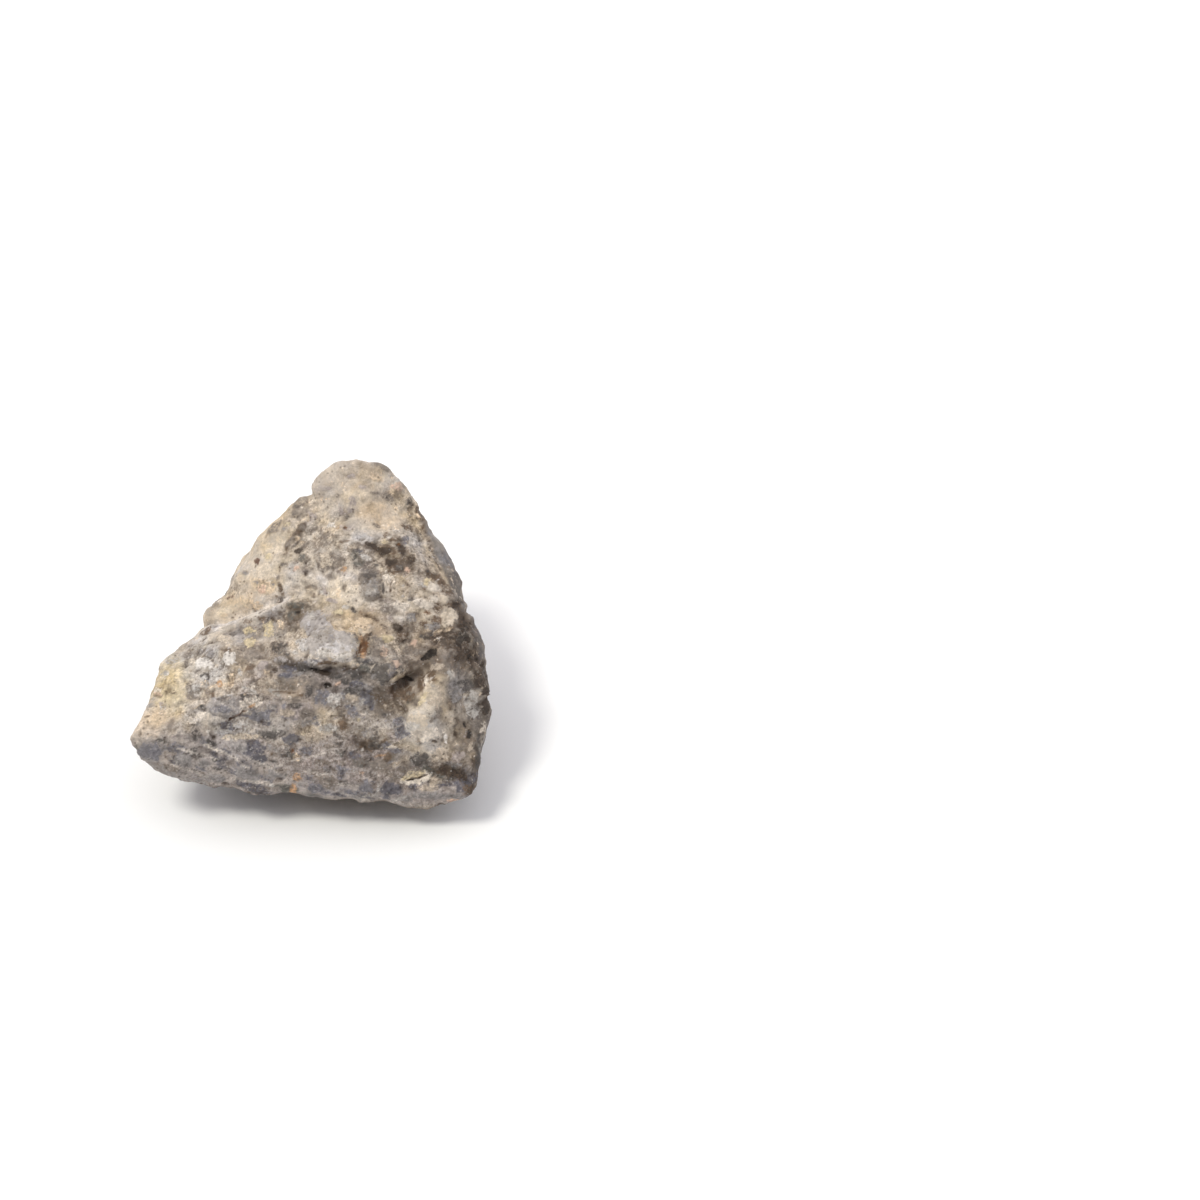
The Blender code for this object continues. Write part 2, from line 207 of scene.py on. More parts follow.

# Broad tints of the matrix: centre and half sizes in picture pixels, tilt in degrees, tone, strength.
# The dark ones along the right outline are painted shade, on the side that turns from the key lamp.
ZONES = [
    (355, 480, 60, 34, 0, "dull_tan", 0.9),
    (345, 498, 34, 12, 0, "cream", 0.5),
    (380, 516, 26, 14, 10, "ochre", 0.9),
    (300, 510, 26, 18, -30, "dull_tan", 0.8),
    (262, 560, 32, 48, -35, "tan", 0.6),
    (274, 556, 14, 24, 30, "cream", 0.5),
    (255, 596, 34, 20, -15, "ochre", 0.45),
    (345, 588, 28, 18, 0, "cream", 0.9),
    (330, 555, 26, 22, 0, "tan", 0.7),
    (415, 590, 30, 42, 10, "dull_tan", 0.8),
    (450, 615, 16, 24, 0, "dull_tan", 0.6),
    (372, 622, 28, 18, 10, "ochre", 0.7),
    (172, 682, 24, 38, 20, "yellow", 0.85),
    (152, 722, 22, 14, -35, "ochre", 0.8),
    (205, 666, 26, 24, 0, "chalk", 0.8),
    (245, 650, 30, 22, 0, "dull_tan", 0.8),
    (290, 620, 60, 16, -12, "warm_grey", 0.6),
    (290, 690, 70, 24, 0, "mauve", 0.7),
    (240, 765, 110, 34, 8, "haze", 0.8),
    (310, 735, 24, 18, 0, "dull_tan", 0.6),
    (330, 764, 50, 34, 0, "haze", 0.8),
    (375, 770, 34, 26, 0, "mauve", 0.6),
    (384, 700, 20, 20, 0, "warm_grey", 1.0),
    (247, 656, 13, 10, 0, "warm_grey", 0.6),
    (295, 668, 18, 8, 0, "dark_grey", 0.8),
    (340, 685, 40, 20, 0, "warm_grey", 0.6),
    (430, 690, 13, 12, 0, "tan", 0.9),
    (424, 708, 17, 12, 0, "cream", 0.9),
    (420, 728, 26, 18, 0, "chalk", 0.8),
    (458, 735, 26, 50, 0, "warm_grey", 0.7),
    (430, 792, 50, 14, 0, "mauve", 0.8),
    (440, 650, 36, 22, 20, "brown", 0.5),
    (386, 481, 14, 10, 0, "cream", 0.9),
    (400, 506, 10, 12, 20, "tan", 0.7),
    (302, 522, 14, 9, -20, "tan", 0.7),
    (358, 534, 16, 7, 0, "tan", 0.8),
    (360, 606, 12, 8, 0, "cream", 0.7),
    (320, 566, 9, 9, 0, "tan", 0.7),
    (340, 766, 28, 12, 0, "haze", 0.8),
    (380, 645, 12, 8, 20, "dull_tan", 0.8),
    (478, 688, 8, 12, 0, "dark_brown", 0.7),
    (312, 586, 18, 14, 0, "cream", 0.6),
    (462, 735, 13, 26, 0, "warm_grey", 0.7),
    (142, 748, 9, 9, 0, "warm_grey", 0.6),
    (412, 605, 18, 10, 0, "cream", 0.9),
    (384, 606, 12, 7, 0, "cream", 0.6),
    (406, 620, 8, 5, 0, "cream", 0.5),
    (222, 724, 26, 6, 4, "cream", 0.6),
    (196, 716, 12, 10, -10, "cream", 0.9),
    (330, 643, 25, 14, 6, "ash", 0.9),
    (313, 624, 14, 11, 35, "ash", 0.9),
    (285, 590, 11, 8, 0, "cream", 0.8),
    (354, 740, 8, 6, 0, "mauve", 0.9),
    (436, 780, 8, 5, 0, "dull_tan", 0.8),
    (286, 631, 8, 7, 0, "tan", 0.8),
    (285, 609, 7, 5, 0, "tan", 0.6),
    (446, 710, 7, 6, 0, "tan", 0.8),
    (303, 510, 10, 7, -20, "warm_grey", 0.5),
    (294, 531, 8, 6, -40, "tan", 0.8),
    (425, 735, 17, 8, 0, "cream", 0.9),
    (356, 580, 7, 7, 0, "dull_tan", 0.8),
    (415, 541, 8, 6, 0, "cream", 0.8),
    (315, 660, 8, 5, 0, "chalk", 0.9),
    (195, 690, 8, 8, 0, "chalk", 0.8),
    (415, 540, 8, 7, 0, "pale_grey", 0.8),
    (285, 600, 9, 5, 0, "cream", 0.7),
    (285, 680, 10, 6, 0, "grey", 0.8),
    (295, 590, 6, 6, 0, "dull_tan", 0.7),
    (405, 760, 6, 6, 0, "dull_tan", 0.8),
    (395, 619, 7, 5, 0, "cream", 0.9),
    (415, 630, 7, 5, 0, "tan", 0.8),
    (222, 629, 8, 5, -20, "cream", 0.8),
    (296, 712, 20, 9, 0, "mauve", 0.8),
    (475, 668, 8, 13, 0, "umber", 0.8),
    (380, 634, 11, 8, 30, "brown", 0.5),
    (365, 619, 9, 7, 0, "ochre", 1.0),
    (266, 669, 9, 7, 0, "warm_grey", 0.7),
    (363, 540, 10, 5, 0, "cream", 0.9),
    (355, 730, 10, 7, 0, "warm_grey", 0.7),
    (434, 748, 9, 6, 0, "grey", 0.7),
    (345, 760, 9, 7, 0, "haze", 0.9),
    (325, 729, 9, 6, 0, "cream", 0.9),
    (355, 690, 8, 6, 0, "grey", 0.7),
    (200, 643, 12, 8, 0, "cream", 0.9),
    (213, 607, 8, 12, 20, "warm_grey", 0.7),
    (250, 704, 18, 5, 0, "haze", 0.8),
    (240, 625, 9, 6, -25, "tan", 0.6),
    (282, 624, 8, 7, 0, "tan", 0.6),
    (200, 647, 14, 6, 0, "pale_grey", 0.7),
    (482, 765, 9, 20, 0, "dark_brown", 0.7),
    (182, 648, 14, 8, -20, "dull_tan", 0.7),
    (228, 728, 24, 9, 0, "pale_grey", 0.8),
    (446, 664, 22, 10, -20, "warm_grey", 0.8),
    (460, 684, 16, 10, 0, "grey", 0.7),
    (478, 690, 12, 60, 0, "dark_grey", 0.6),
]

# Broad lines of tone: points, half width, tone, strength. The dark right side beyond the brow, which turns
# from the key lamp, and the dark bands along the right outline, under the ledge's crest, in the crease, in
# the crevice under the pale clast and in the bowl are painted shade; the cream band above the crest is a
# painted highlight.
SHADES = [
    ([(428, 514), (440, 540), (455, 572), (463, 594), (474, 620), (490, 650)], 15, "flank_shade", 1.5),
    ([(428, 522), (434, 536)], 10, "grey", 1.0),
    ([(440, 552), (449, 568)], 8, "grey", 1.0),
    ([(484, 668), (490, 700), (488, 760)], 15, "dark_grey", 1.0),
    ([(417, 508), (421, 520), (424, 532)], 4, "brown", 1.0),
    ([(424, 532), (432, 552), (440, 570)], 3, "smudge_and_shade", 0.8),
    ([(428, 571), (438, 578), (446, 588)], 4, "brown", 0.9),
    ([(450, 592), (456, 602), (464, 618), (474, 650)], 4.5, "dark_brown", 1.0),
    ([(458, 606), (464, 626), (470, 646), (478, 676), (482, 712)], 13, "dark_brown", 0.9),
    ([(442, 632), (456, 640), (466, 654)], 18, "dark_brown", 1.6),
    ([(452, 606), (462, 626)], 9, "dark_brown", 1.2),
    ([(402, 692), (412, 692), (422, 684), (432, 678)], 9, "brown", 1.0),
    ([(397, 686), (399, 700)], 8, "umber", 1.0),
    ([(432, 666), (418, 675), (404, 684), (394, 692)], 12, "brown", 1.2),
    ([(360, 660), (380, 662), (394, 660)], 8, "dark_grey", 0.9),
    ([(272, 684), (292, 686)], 9, "warm_grey", 0.8),
    ([(432, 660), (450, 664), (466, 672)], 13, "warm_grey", 0.9),
    ([(376, 656), (392, 654)], 10, "warm_grey", 0.9),
    ([(370, 576), (372, 594)], 13, "warm_grey", 0.8),
    ([(300, 612), (282, 618), (264, 624), (248, 630)], 7, "smudge_and_shade", 0.5),
    ([(240, 629), (226, 636), (218, 640)], 5, "warm_grey", 0.6),
    ([(300, 606), (293, 616), (291, 624)], 8, "smudge_and_shade", 0.5),
    ([(368, 546), (384, 550), (394, 554)], 7, "brown", 0.8),
    ([(386, 562), (398, 568)], 10, "smudge_and_shade", 0.9),
    ([(400, 546), (408, 560)], 9, "smudge_and_shade", 0.8),
    ([(366, 566), (370, 580)], 10, "warm_grey", 0.8),
    ([(392, 626), (404, 638), (410, 652), (400, 668)], 10, "smudge_and_shade", 0.4),
    ([(440, 640), (456, 630), (462, 606)], 9, "dark_brown", 0.7),
    ([(300, 666), (320, 672), (345, 670), (366, 674), (388, 676)], 7, "dark_grey", 0.4),
    ([(262, 648), (280, 650), (292, 662)], 9, "smudge_and_shade", 0.6),
    ([(304, 526), (292, 540), (284, 552)], 6, "brown", 0.7),
    ([(314, 548), (320, 558), (330, 566)], 8, "smudge_and_shade", 0.6),
    ([(330, 700), (345, 712), (345, 726)], 10, "brown", 0.5),
    ([(424, 650), (412, 666), (402, 680)], 8, "smudge_and_shade", 0.8),
    ([(446, 684), (456, 698)], 11, "warm_grey", 0.8),
    ([(376, 694), (388, 704), (402, 709)], 12, "smudge_and_shade", 0.8),
    ([(262, 622), (276, 618)], 9, "warm_grey", 0.7),
    ([(420, 762), (440, 768), (462, 776), (472, 790)], 12, "dark_brown", 0.7),
    ([(222, 617), (241, 612), (258, 607), (274, 601), (286, 597)], 12, "cream", 1.3),
    ([(411, 698), (416, 702)], 9, "warm_grey", 0.8),
    ([(402, 685), (405, 692), (407, 698)], 9, "umber", 0.9),
    ([(474, 666), (479, 678)], 9, "umber", 1.6),
    ([(462, 636), (468, 648)], 7, "umber", 1.2),
    ([(290, 667), (302, 671)], 6, "umber", 0.6),
    ([(430, 652), (438, 660)], 6, "brown", 0.7),
    ([(464, 607), (470, 618)], 5, "flank_shade", 1.2),
    ([(345, 668), (360, 668)], 6, "dark_brown", 0.8),
    ([(363, 640), (364, 654)], 6, "rust", 1.0),
    ([(474, 660), (478, 676), (484, 690)], 8, "dark_brown", 1.1),
    ([(486, 684), (488, 700), (487, 708)], 9, "umber", 1.6),
    ([(476, 762), (477, 780)], 8, "smudge_and_shade", 1.2),
    ([(461, 630), (467, 644), (470, 656)], 8, "umber", 1.0),
    ([(464, 606), (468, 616)], 6, "flank_shade", 1.2),
    ([(362, 745), (372, 748), (392, 752), (388, 764)], 9, "warm_grey", 0.7),
    ([(481, 716), (484, 728)], 7, "warm_grey", 1.3),
    ([(452, 704), (458, 716)], 9, "smudge_and_shade", 0.8),
    ([(476, 630), (481, 642), (482, 656)], 5, "flank_shade", 1.2),
]

# The tones whose strokes aren't broken up by crumbs of the matrix.
UNBROKEN = ("cream", "flank_shade")

# Where the fresher grey stone shows: ellipses in the picture, and their share.
FRESH = [
    (238, 768, 114, 32, 8, 1.0),
    (330, 765, 60, 34, 0, 0.9),
    (256, 718, 66, 24, 3, 1.0),
    (380, 780, 60, 34, 0, 1.0),
    (350, 690, 44, 24, 0, 0.9),
    (300, 668, 40, 12, 5, 0.7),
    (430, 785, 60, 24, -5, 0.9),
    (365, 730, 44, 22, 0, 0.6),
]

# Where the light crust reaches over it.
CRUST = [
    (160, 712, 32, 24, -20),
    (190, 670, 34, 34, 0),
    (312, 735, 18, 9, 0),
    (226, 729, 28, 7, 4),
    (197, 720, 14, 9, -10),
    (424, 712, 20, 30, 0),
]

# How grimy the crust is in places, from 0 to 1.
GRIMY = [
    (306, 540, 26, 24, -30, 1.0),
    (312, 590, 18, 16, 0, 0.1),
    (335, 556, 18, 18, 0, 0.8),
    (348, 588, 16, 16, 0, 0.0),
    (262, 552, 20, 26, 30, 0.1),
    (370, 518, 34, 24, 0, 0.0),
    (394, 556, 24, 22, 0, 1.0),
    (398, 590, 16, 18, 0, 0.7),
    (412, 642, 30, 18, 20, 1.0),
    (456, 626, 18, 36, -10, 1.0),
    (366, 628, 22, 14, 0, 0.3),
    (290, 612, 26, 12, -15, 1.0),
    (278, 655, 26, 14, 10, 1.0),
    (170, 690, 24, 40, 20, 0.3),
    (342, 718, 16, 16, 0, 1.0),
    (372, 750, 36, 16, 0, 1.0),
    (424, 722, 18, 14, 0, 0.1),
    (450, 770, 26, 16, 10, 1.0),
]

# Smooth places with few grains.
CALM = [
    (356, 482, 46, 30, 0, 0.75),
    (380, 516, 24, 16, 0, 0.8),
    (262, 558, 26, 42, 35, 0.6),
    (238, 606, 34, 11, -24, 0.9),
    (150, 757, 26, 16, 20, 0.4),
    (384, 700, 15, 17, 0, 1.0),
    (430, 668, 22, 13, -20, 0.9),
    (426, 700, 18, 26, 0, 0.6),
    (424, 728, 20, 14, 0, 0.5),
    (430, 797, 60, 8, 0, 0.6),
    (228, 707, 20, 10, 0, 0.5),
    (446, 566, 11, 44, -26, 0.8),
    (484, 640, 8, 34, -12, 0.8),
]

# Clasts that can be told apart in the picture: centre and half sizes in picture pixels, tilt in degrees
# (clockwise), tone, and how far the clast stands out of the surface in mm.
CLASTS = [
    # cap of the peak
    (351, 476, 5, 3, 20, "mauve", 0.01),
    (338, 496, 3, 2, 0, "warm_grey", 0.0),
    (363, 487, 4, 2, 0, "mauve", 0.0),
    (352, 504, 5, 9, 15, "mauve", 0.0),
    (341, 511, 3, 5, -15, "mauve", 0.0),
    (347, 516, 3, 3, 0, "warm_grey", 0.0),
    (325, 489, 9, 3, -5, "mauve", 0.0),
    (382, 467, 9, 3, 25, "warm_grey", -0.01),
    (388, 497, 8, 4, 20, "warm_grey", -0.01),
    (374, 493, 5, 2, 10, "warm_grey", -0.01),
    (395, 486, 6, 4, 15, "pink", 0.01),
    (376, 526, 5, 2, 20, "warm_grey", -0.01),
    (331, 526, 4, 3, -30, "white", 0.01),
    (345, 528, 2.5, 2, 30, "rust", 0.0),
    (338, 528, 2, 1.5, 0, "orange", 0.0),
    (344, 541, 5, 1.5, -10, "brown", -0.02),
    (328, 540, 8, 7, -20, "warm_grey", 0.01),
    (336, 560, 6, 5, 0, "warm_grey", 0.0),
    (408, 502, 3, 4, 20, "dark_grey", 0.0),
    # left side of the slope
    (300, 504, 9, 4, -20, "warm_grey", 0.0),
    (295, 514, 4, 4, 0, "warm_grey", 0.0),
    (313, 517, 5, 5, 0, "mauve", 0.01),
    (275, 527, 10, 4, -48, "warm_grey", 0.0),
    (284, 529, 3, 2, -20, "grey", 0.0),
    (287, 524, 4, 2, -30, "yellow", 0.0),
    (299, 529, 11, 2.4, -48, "brown", 0.01),
    (290, 542, 9, 2.4, -50, "warm_grey", 0.01),
    (296, 545, 8, 1.6, -45, "warm_grey", 0.0),
    (312, 530, 8, 3, -30, "warm_grey", 0.0),
    (307, 545, 6, 2, -40, "warm_grey", 0.0),
    (258, 561.5, 4.2, 3.6, 15, "red_brown", 0.02),
    (245, 573, 2.5, 2.5, 0, "grey", -0.01),
    (267, 556, 4, 4, 0, "yellow", 0.0),
    (299, 552, 6, 3, -25, "dark_brown", -0.02),
    (302, 558, 5, 3, -10, "green_grey", 0.0),
    (283, 565, 5, 2.5, -15, "warm_grey", -0.01),
    (280, 569, 1.5, 4, 0, "brown", -0.01),
    (290, 578, 2, 2, 0, "dark_brown", -0.02),
    (305, 573, 2.5, 1.5, 30, "dark_brown", -0.02),
    (312, 569, 2, 1.5, 0, "dark_grey", -0.01),
    (297, 568, 3, 2.5, 0, "pink", 0.0),
    (256, 582, 3, 2, 0, "grey", -0.01),
    (273, 584, 2.5, 2, -30, "grey", -0.01),
    (266, 570, 10, 9, 0, "tan", 0.0),
    (262, 589, 4.5, 5, 0, "pink", 0.0),
    (252, 601, 3, 2, 0, "ochre", 0.0),
    (257, 605, 6, 5, 0, "ochre", 0.01),
    (230, 597, 5, 1.6, -20, "red_brown", 0.0),
    (233, 618, 1.6, 1.2, 0, "brown", -0.01),
    (308, 588, 3, 1.6, 10, "brown", -0.01),
    (314, 596, 2.2, 1.6, 0, "brown", -0.01),
    (314, 607, 1.8, 1.4, 0, "brown", -0.01),
    # dark point of the ledge and the stones under it
    (296, 606, 8, 3.5, 5, "green_grey", 0.0),
    (292, 616, 5, 6, 0, "green_grey", 0.0),
    (298, 612, 2.5, 2, 0, "black", -0.02),
    (285, 611, 1.5, 1.5, 0, "dark_brown", -0.02),
    (297, 621, 4, 2, 0, "dark_brown", -0.01),
    (271, 619, 5, 3, 10, "dark_brown", -0.01),
    (262, 618, 4, 2.5, 10, "brown", -0.01),
    (249, 622, 5, 1.5, -10, "brown", -0.01),
    (242, 628, 4, 3, -30, "warm_grey", 0.0),
    (260, 630, 4, 4, 20, "warm_grey", 0.0),
    (250, 630, 6, 4, 0, "dull_yellow", 0.01),
    (269, 629, 5, 9, 0, "dull_yellow", 0.01),
    (281, 624, 3, 6, -25, "ochre", 0.01),
    # middle of the slope
    (358, 556, 10, 13, 0, "warm_grey", 0.0),
    (367, 558, 7, 3, 8, "pale_grey", 0.01),
    (359, 553, 5, 3.4, 10, "slate", 0.0),
    (352, 548, 5, 4, 0, "dull_tan", 0.0),
    (354, 556, 4, 6, 0, "green_grey", 0.0),
    (359, 563, 6, 3, 0, "green_grey", -0.01),
    (374, 547, 11, 3, 25, "dark_brown", -0.02),
    (385, 551, 7, 4.5, -10, "dark_brown", -0.03),
    (390, 537, 10, 3.5, 15, "brown", -0.01),
    (388, 537, 2.5, 2, 0, "white", 0.0),
    (384, 542, 4, 2, 0, "yellow", 0.0),
    (398, 544, 3, 2, 0, "rust", 0.0),
    (405, 539, 5, 5, 0, "blue_grey", 0.01),
    (402, 550, 5, 5, 0, "dark_brown", -0.02),
    (411, 558, 4, 6, 10, "dark_brown", -0.01),
    (393, 565, 9, 7, 20, "brown", 0.0),
    (383, 560, 5, 5, 0, "dull_tan", 0.0),
    (391, 563, 8, 4, 20, "dark_brown", -0.02),
    (395, 570, 8, 5, 0, "brown", 0.0),
    (400, 569, 5, 3.5, 0, "dark_grey", -0.01),
    (371, 585, 12, 16, 5, "warm_grey", 0.018),
    (371, 589, 9, 10, 0, "grey", 0.01),
    (366, 583, 3, 3, 0, "dark_grey", 0.0),
    (377, 595, 3, 2, -30, "dark_grey", 0.0),
    (368, 594, 3, 2.4, 0, "pale_grey", 0.0),
    (369, 576, 8, 4, 0, "dark_grey", 0.0),
    (364, 588, 3, 6, 0, "warm_grey", 0.0),
    (374, 591, 3, 2.5, 0, "pale_grey", 0.0),
    (383, 588, 1.8, 7, -10, "dark_grey", -0.02),
    (376, 565, 3, 2.2, 0, "dark_grey", -0.01),
    (344, 570, 3.8, 2.8, 0, "orange", 0.0),
    (342, 569, 1.6, 1.3, 0, "rust", 0.0),
    (325, 591, 2, 6, -20, "mauve", 0.0),
    (333, 601, 6, 3, 20, "mauve", 0.0),
    (325, 560, 7, 6, -40, "tan", 0.01),
    (354, 610, 2.4, 4, -30, "dark_grey", -0.01),
    (346, 607, 5, 2.2, 0, "pale_grey", 0.0),
    (338, 613, 6, 3, 0, "yellow", 0.0),
    (360, 612, 2.2, 1.2, -50, "rust", 0.0),
    (371, 618, 11, 1.3, 22, "brown", -0.03),
    (389, 610, 10, 4.5, 5, "warm_grey", 0.01),
    (391, 587, 1.2, 8, 10, "brown", -0.02),
    (407, 584, 6, 1.3, 42, "brown", -0.02),
    (411, 600, 4, 2, 0, "dark_grey", -0.02),
    (402, 607, 5, 4, 0, "cream", 0.01),
    (411, 617, 6, 4, 0, "grey", 0.0),
    (418, 604, 6, 5, 0, "cream", 0.02),
    (407, 570, 3, 3, 0, "pink", 0.0),
    # right part of the slope, down to the brow
    (428, 571, 3, 2, 0, "dark_grey", -0.01),
    (436, 578, 3, 2, 20, "brown", -0.01),
    (434, 595, 13, 10, 10, "dull_tan", 0.0),
    (437, 607, 6, 5, 10, "brown", 0.0),
    (427, 582, 5, 3.5, 0, "yellow", 0.02),
    (433, 587, 6.5, 5.5, 0, "cream", 0.04),
    (434, 600, 5.5, 4, 0, "cream", 0.03),
    (444, 598, 4, 5.5, 0, "tan", 0.04),
    (423, 594, 4, 3.5, 0, "tan", 0.02),
    (424, 589, 5, 1.5, 22, "brown", -0.02),
    (426, 606, 8, 5, 0, "cream", 0.02),
    (428, 616, 7, 4, 0, "tan", 0.03),
    (424, 623, 6, 3, 0, "brown", -0.01),
    (427, 613, 3.4, 2.0, 10, "rust", -0.01),
    (438, 609, 3, 6, 0, "brown", -0.01),
    (442, 583, 4, 3, 40, "brown", -0.01),
    (450, 594, 4, 3, 50, "dark_brown", -0.01),
    (449, 605, 3, 3, 0, "brown", -0.01),
    (456, 604, 4, 3, 0, "dark_brown", -0.02),
    (448, 617, 8, 11, 10, "tan", 0.03),
    (436, 621, 5, 5, 0, "brown", -0.01),
    (446, 590, 7, 5, 45, "brown", -0.01),
    (462, 622, 4, 11, -12, "dark_brown", -0.01),
    (456, 634, 9, 4, 10, "dark_brown", -0.01),
    (432, 626, 8, 5, 0, "grey", 0.0),
    (427, 636, 7, 4, 0, "dark_grey", 0.0),
    (384, 626, 5, 2, 25, "brown", -0.01),
    (398, 627, 8, 4, 30, "dark_brown", -0.02),
    (403, 637, 5, 7, 0, "brown", -0.01),
    (386, 639, 8, 4, -5, "dull_yellow", 0.02),
    (384, 652, 4.5, 4, 0, "pink", 0.01),
    (415, 642, 3.6, 4, 20, "pink", 0.02),
    (396, 670, 8, 6, 0, "dark_grey", 0.0),
    (396, 664, 3.8, 4.6, 10, "pink", 0.03),
    (410, 650, 6, 5, 0, "warm_grey", 0.0),
    (405, 660, 7, 5, 0, "warm_grey", 0.0),
    (416, 651, 6, 5, 0, "warm_grey", 0.0),
    (428, 654.5, 9, 4.6, -42, "black", -0.05),
    (457, 651, 12, 9, 20, "dark_brown", 0.0),
    (463, 641, 8, 7, 0, "umber", -0.02),
    (465, 629, 6, 7, -10, "umber", -0.01),
    (468, 644, 4, 12, -12, "umber", -0.02),
    (450, 636, 9, 4, 15, "dark_brown", 0.0),
    (452, 652, 4, 4, 0, "warm_grey", 0.0),
    (467, 650, 6, 8, -10, "dark_brown", 0.0),
    (436, 667, 10, 4, -22, "dull_tan", 0.0),
    # light facet on the left
    (187, 657, 3.5, 10, 12, "warm_grey", -0.01),
    (200, 650, 4, 3, 0, "grey", -0.01),
    (211, 653, 3, 4, 0, "grey", 0.0),
    (205, 664, 8, 5.5, 0, "white", 0.02),
    (204, 677, 5, 4.6, 0, "dark_grey", -0.02),
    (204, 678, 2.4, 2.2, 0, "pale_grey", 0.0),
    (191, 691, 5, 11, 8, "warm_grey", 0.0),
    (197, 688, 5, 4, 0, "pale_grey", 0.01),
    (196, 698, 2.2, 2, 0, "dark_grey", -0.01),
    (220, 684, 3, 4, 0, "orange", 0.0),
    (213, 695, 2.2, 4, -10, "brown", -0.02),
    (208, 691, 2, 4, 15, "warm_grey", -0.01),
    (165, 674, 5, 3, -20, "pale_grey", 0.0),
    (162, 669, 2.6, 1.6, -20, "grey", 0.0),
    (153, 699, 3, 2, -20, "grey", 0.0),
    (150, 706, 3, 2, 0, "grey", 0.0),
    (161, 704, 3, 2, 0, "mauve", 0.0),
    (172, 694, 6, 1.4, -5, "brown", -0.01),
    (157, 694, 3.5, 2.5, 0, "pink", 0.0),
    (148, 717, 3.5, 1.4, -20, "brown", -0.01),
    (225, 650, 6, 2.2, 8, "brown", -0.02),
    (229, 658, 7.5, 6, 5, "white", 0.04),
    (253, 656, 8, 5, 0, "warm_grey", 0.01),
    (250, 642, 6, 6, 0, "dull_yellow", 0.01),
    (250, 667, 6, 3, -25, "brown", -0.02),
    (263, 665, 6, 4, -15, "mauve", 0.02),
    (232, 678, 3, 8, -10, "ochre", 0.0),
    (240, 672, 2, 6, -30, "pale_grey", 0.0),
    (249, 690, 9, 2, 25, "pale_grey", 0.01),
    # pale clast over the crevice, with its mottling
    (303, 643, 6, 8, -20, "chalk", 0.01),
    (305, 620, 6, 6, 0, "warm_grey", 0.0),
    (331, 645, 27, 16, 5, "ash", 0.05),
    (317, 625, 18, 13, 35, "ash", 0.02),
    (334, 651, 18, 9, 2, "frost", 0.01),
    (337, 643, 6, 6, 20, "frost", 0.0),
    (343, 657, 9, 7, -10, "white", 0.01),
    (326, 654, 9, 5, 0, "white", 0.0),
    (311, 617, 5, 4, 30, "pale_grey", 0.0),
    (326, 625, 2.4, 2, 0, "frost", 0.0),
    (309, 627, 2, 2.4, 0, "frost", 0.0),
    (318, 634, 2.4, 2, 0, "frost", 0.0),
    (333, 633, 2.4, 2, 0, "frost", 0.0),
    (327, 636, 3, 2.4, 0, "grey", 0.0),
    (317, 628, 3, 3, 0, "grey", 0.0),
    (319, 619, 2.4, 2.4, 0, "grey", 0.0),
    (348, 634, 4, 3, 30, "grey", 0.0),
    (354, 641, 4.2, 11, -6, "grey", 0.0),
    (355, 638, 2.4, 7, -6, "dark_grey", 0.0),
    (315, 639, 7, 6, 0, "grey", 0.0),
    (327, 631, 7, 4, 20, "grey", 0.0),
    (332, 638, 4, 4, 0, "blue_grey", 0.0),
    (310, 641, 4, 5, 0, "ash", 0.0),
    (310, 657, 3, 3, 0, "cream", 0.0),
    (370, 637, 2, 7, 25, "dark_brown", -0.02),
    (376, 645, 6, 11, 5, "warm_grey", 0.0),
    (363, 646, 6, 9, 20, "rust", -0.01),
    (363, 623, 8, 6, 0, "ochre", 0.02),
    (366, 637, 3.5, 5, 20, "brown", -0.01),
    (360, 640, 2.2, 5, 10, "orange", 0.0),
    (362, 655, 3, 3, 20, "orange", 0.0),
    (369, 653, 2, 2, 0, "black", -0.03),
    (279, 647, 8, 6, -20, "dark_grey", 0.0),
    (287, 653, 4, 3, 0, "dark_grey", 0.0),
    (281, 660, 7, 4, 0, "ash", 0.0),
    (290, 668, 9, 4.5, 0, "slate", 0.01),
    (302, 667, 5, 5, 0, "dark_grey", 0.0),
    (285, 676, 9, 3, 0, "slate", 0.0),
    (275, 670, 3, 3, 0, "dark_brown", -0.01),
    (328, 664, 11, 3, 0, "brown", -0.01),
    # Painted shadow: the dark line in the crevice under the pale clast, in the next three rows.
    (313, 671, 6, 1.8, 20, "black", -0.05),
    (324, 673, 6, 2.6, 10, "dark_brown", -0.04),
    (350, 669, 7, 2.4, -20, "dark_brown", -0.03),
    # dark stones under the crevice
    (335, 676, 10, 4, 0, "dark_grey", 0.0),
    (328, 685.5, 4, 2.6, 5, "black", -0.07),
    (355, 675, 8, 7, 0, "dark_grey", 0.02),
    (356, 684, 8, 4, 0, "slate", 0.01),
    (383, 673, 12, 11, 0, "dark_grey", 0.04),
    (391, 670, 4, 6, 0, "slate", 0.0),
    (374, 677, 2, 3, 20, "grey", 0.0),
    (365, 668, 6, 6, 0, "green_grey", 0.0),
    (345, 681, 5, 5, 0, "dark_grey", 0.0),
    (354, 692, 8, 6, 0, "dark_grey", 0.0),
    (338, 684, 3.5, 2, -30, "pink", 0.0),
    (366, 698, 8, 7, 0, "blue_grey", 0.02),
    (362, 702, 1.8, 5, 20, "pale_grey", 0.0),
    (371, 705, 3, 5, 0, "slate", 0.0),
    (352, 699, 5, 5, 0, "dull_tan", 0.01),
    (335, 700, 9, 7, 0, "pale_grey", 0.01),
    (345, 761, 7, 6, 0, "mauve", 0.01),
    (343, 712, 5, 6, 10, "warm_grey", 0.0),
    (343, 724, 7, 5, 0, "brown", 0.0),
    (358, 720, 2, 2, 0, "yellow", 0.0),
    (383, 714, 3.5, 2.5, 0, "dark_grey", 0.0),
    (389, 714, 1.6, 1.6, 0, "white", 0.0),
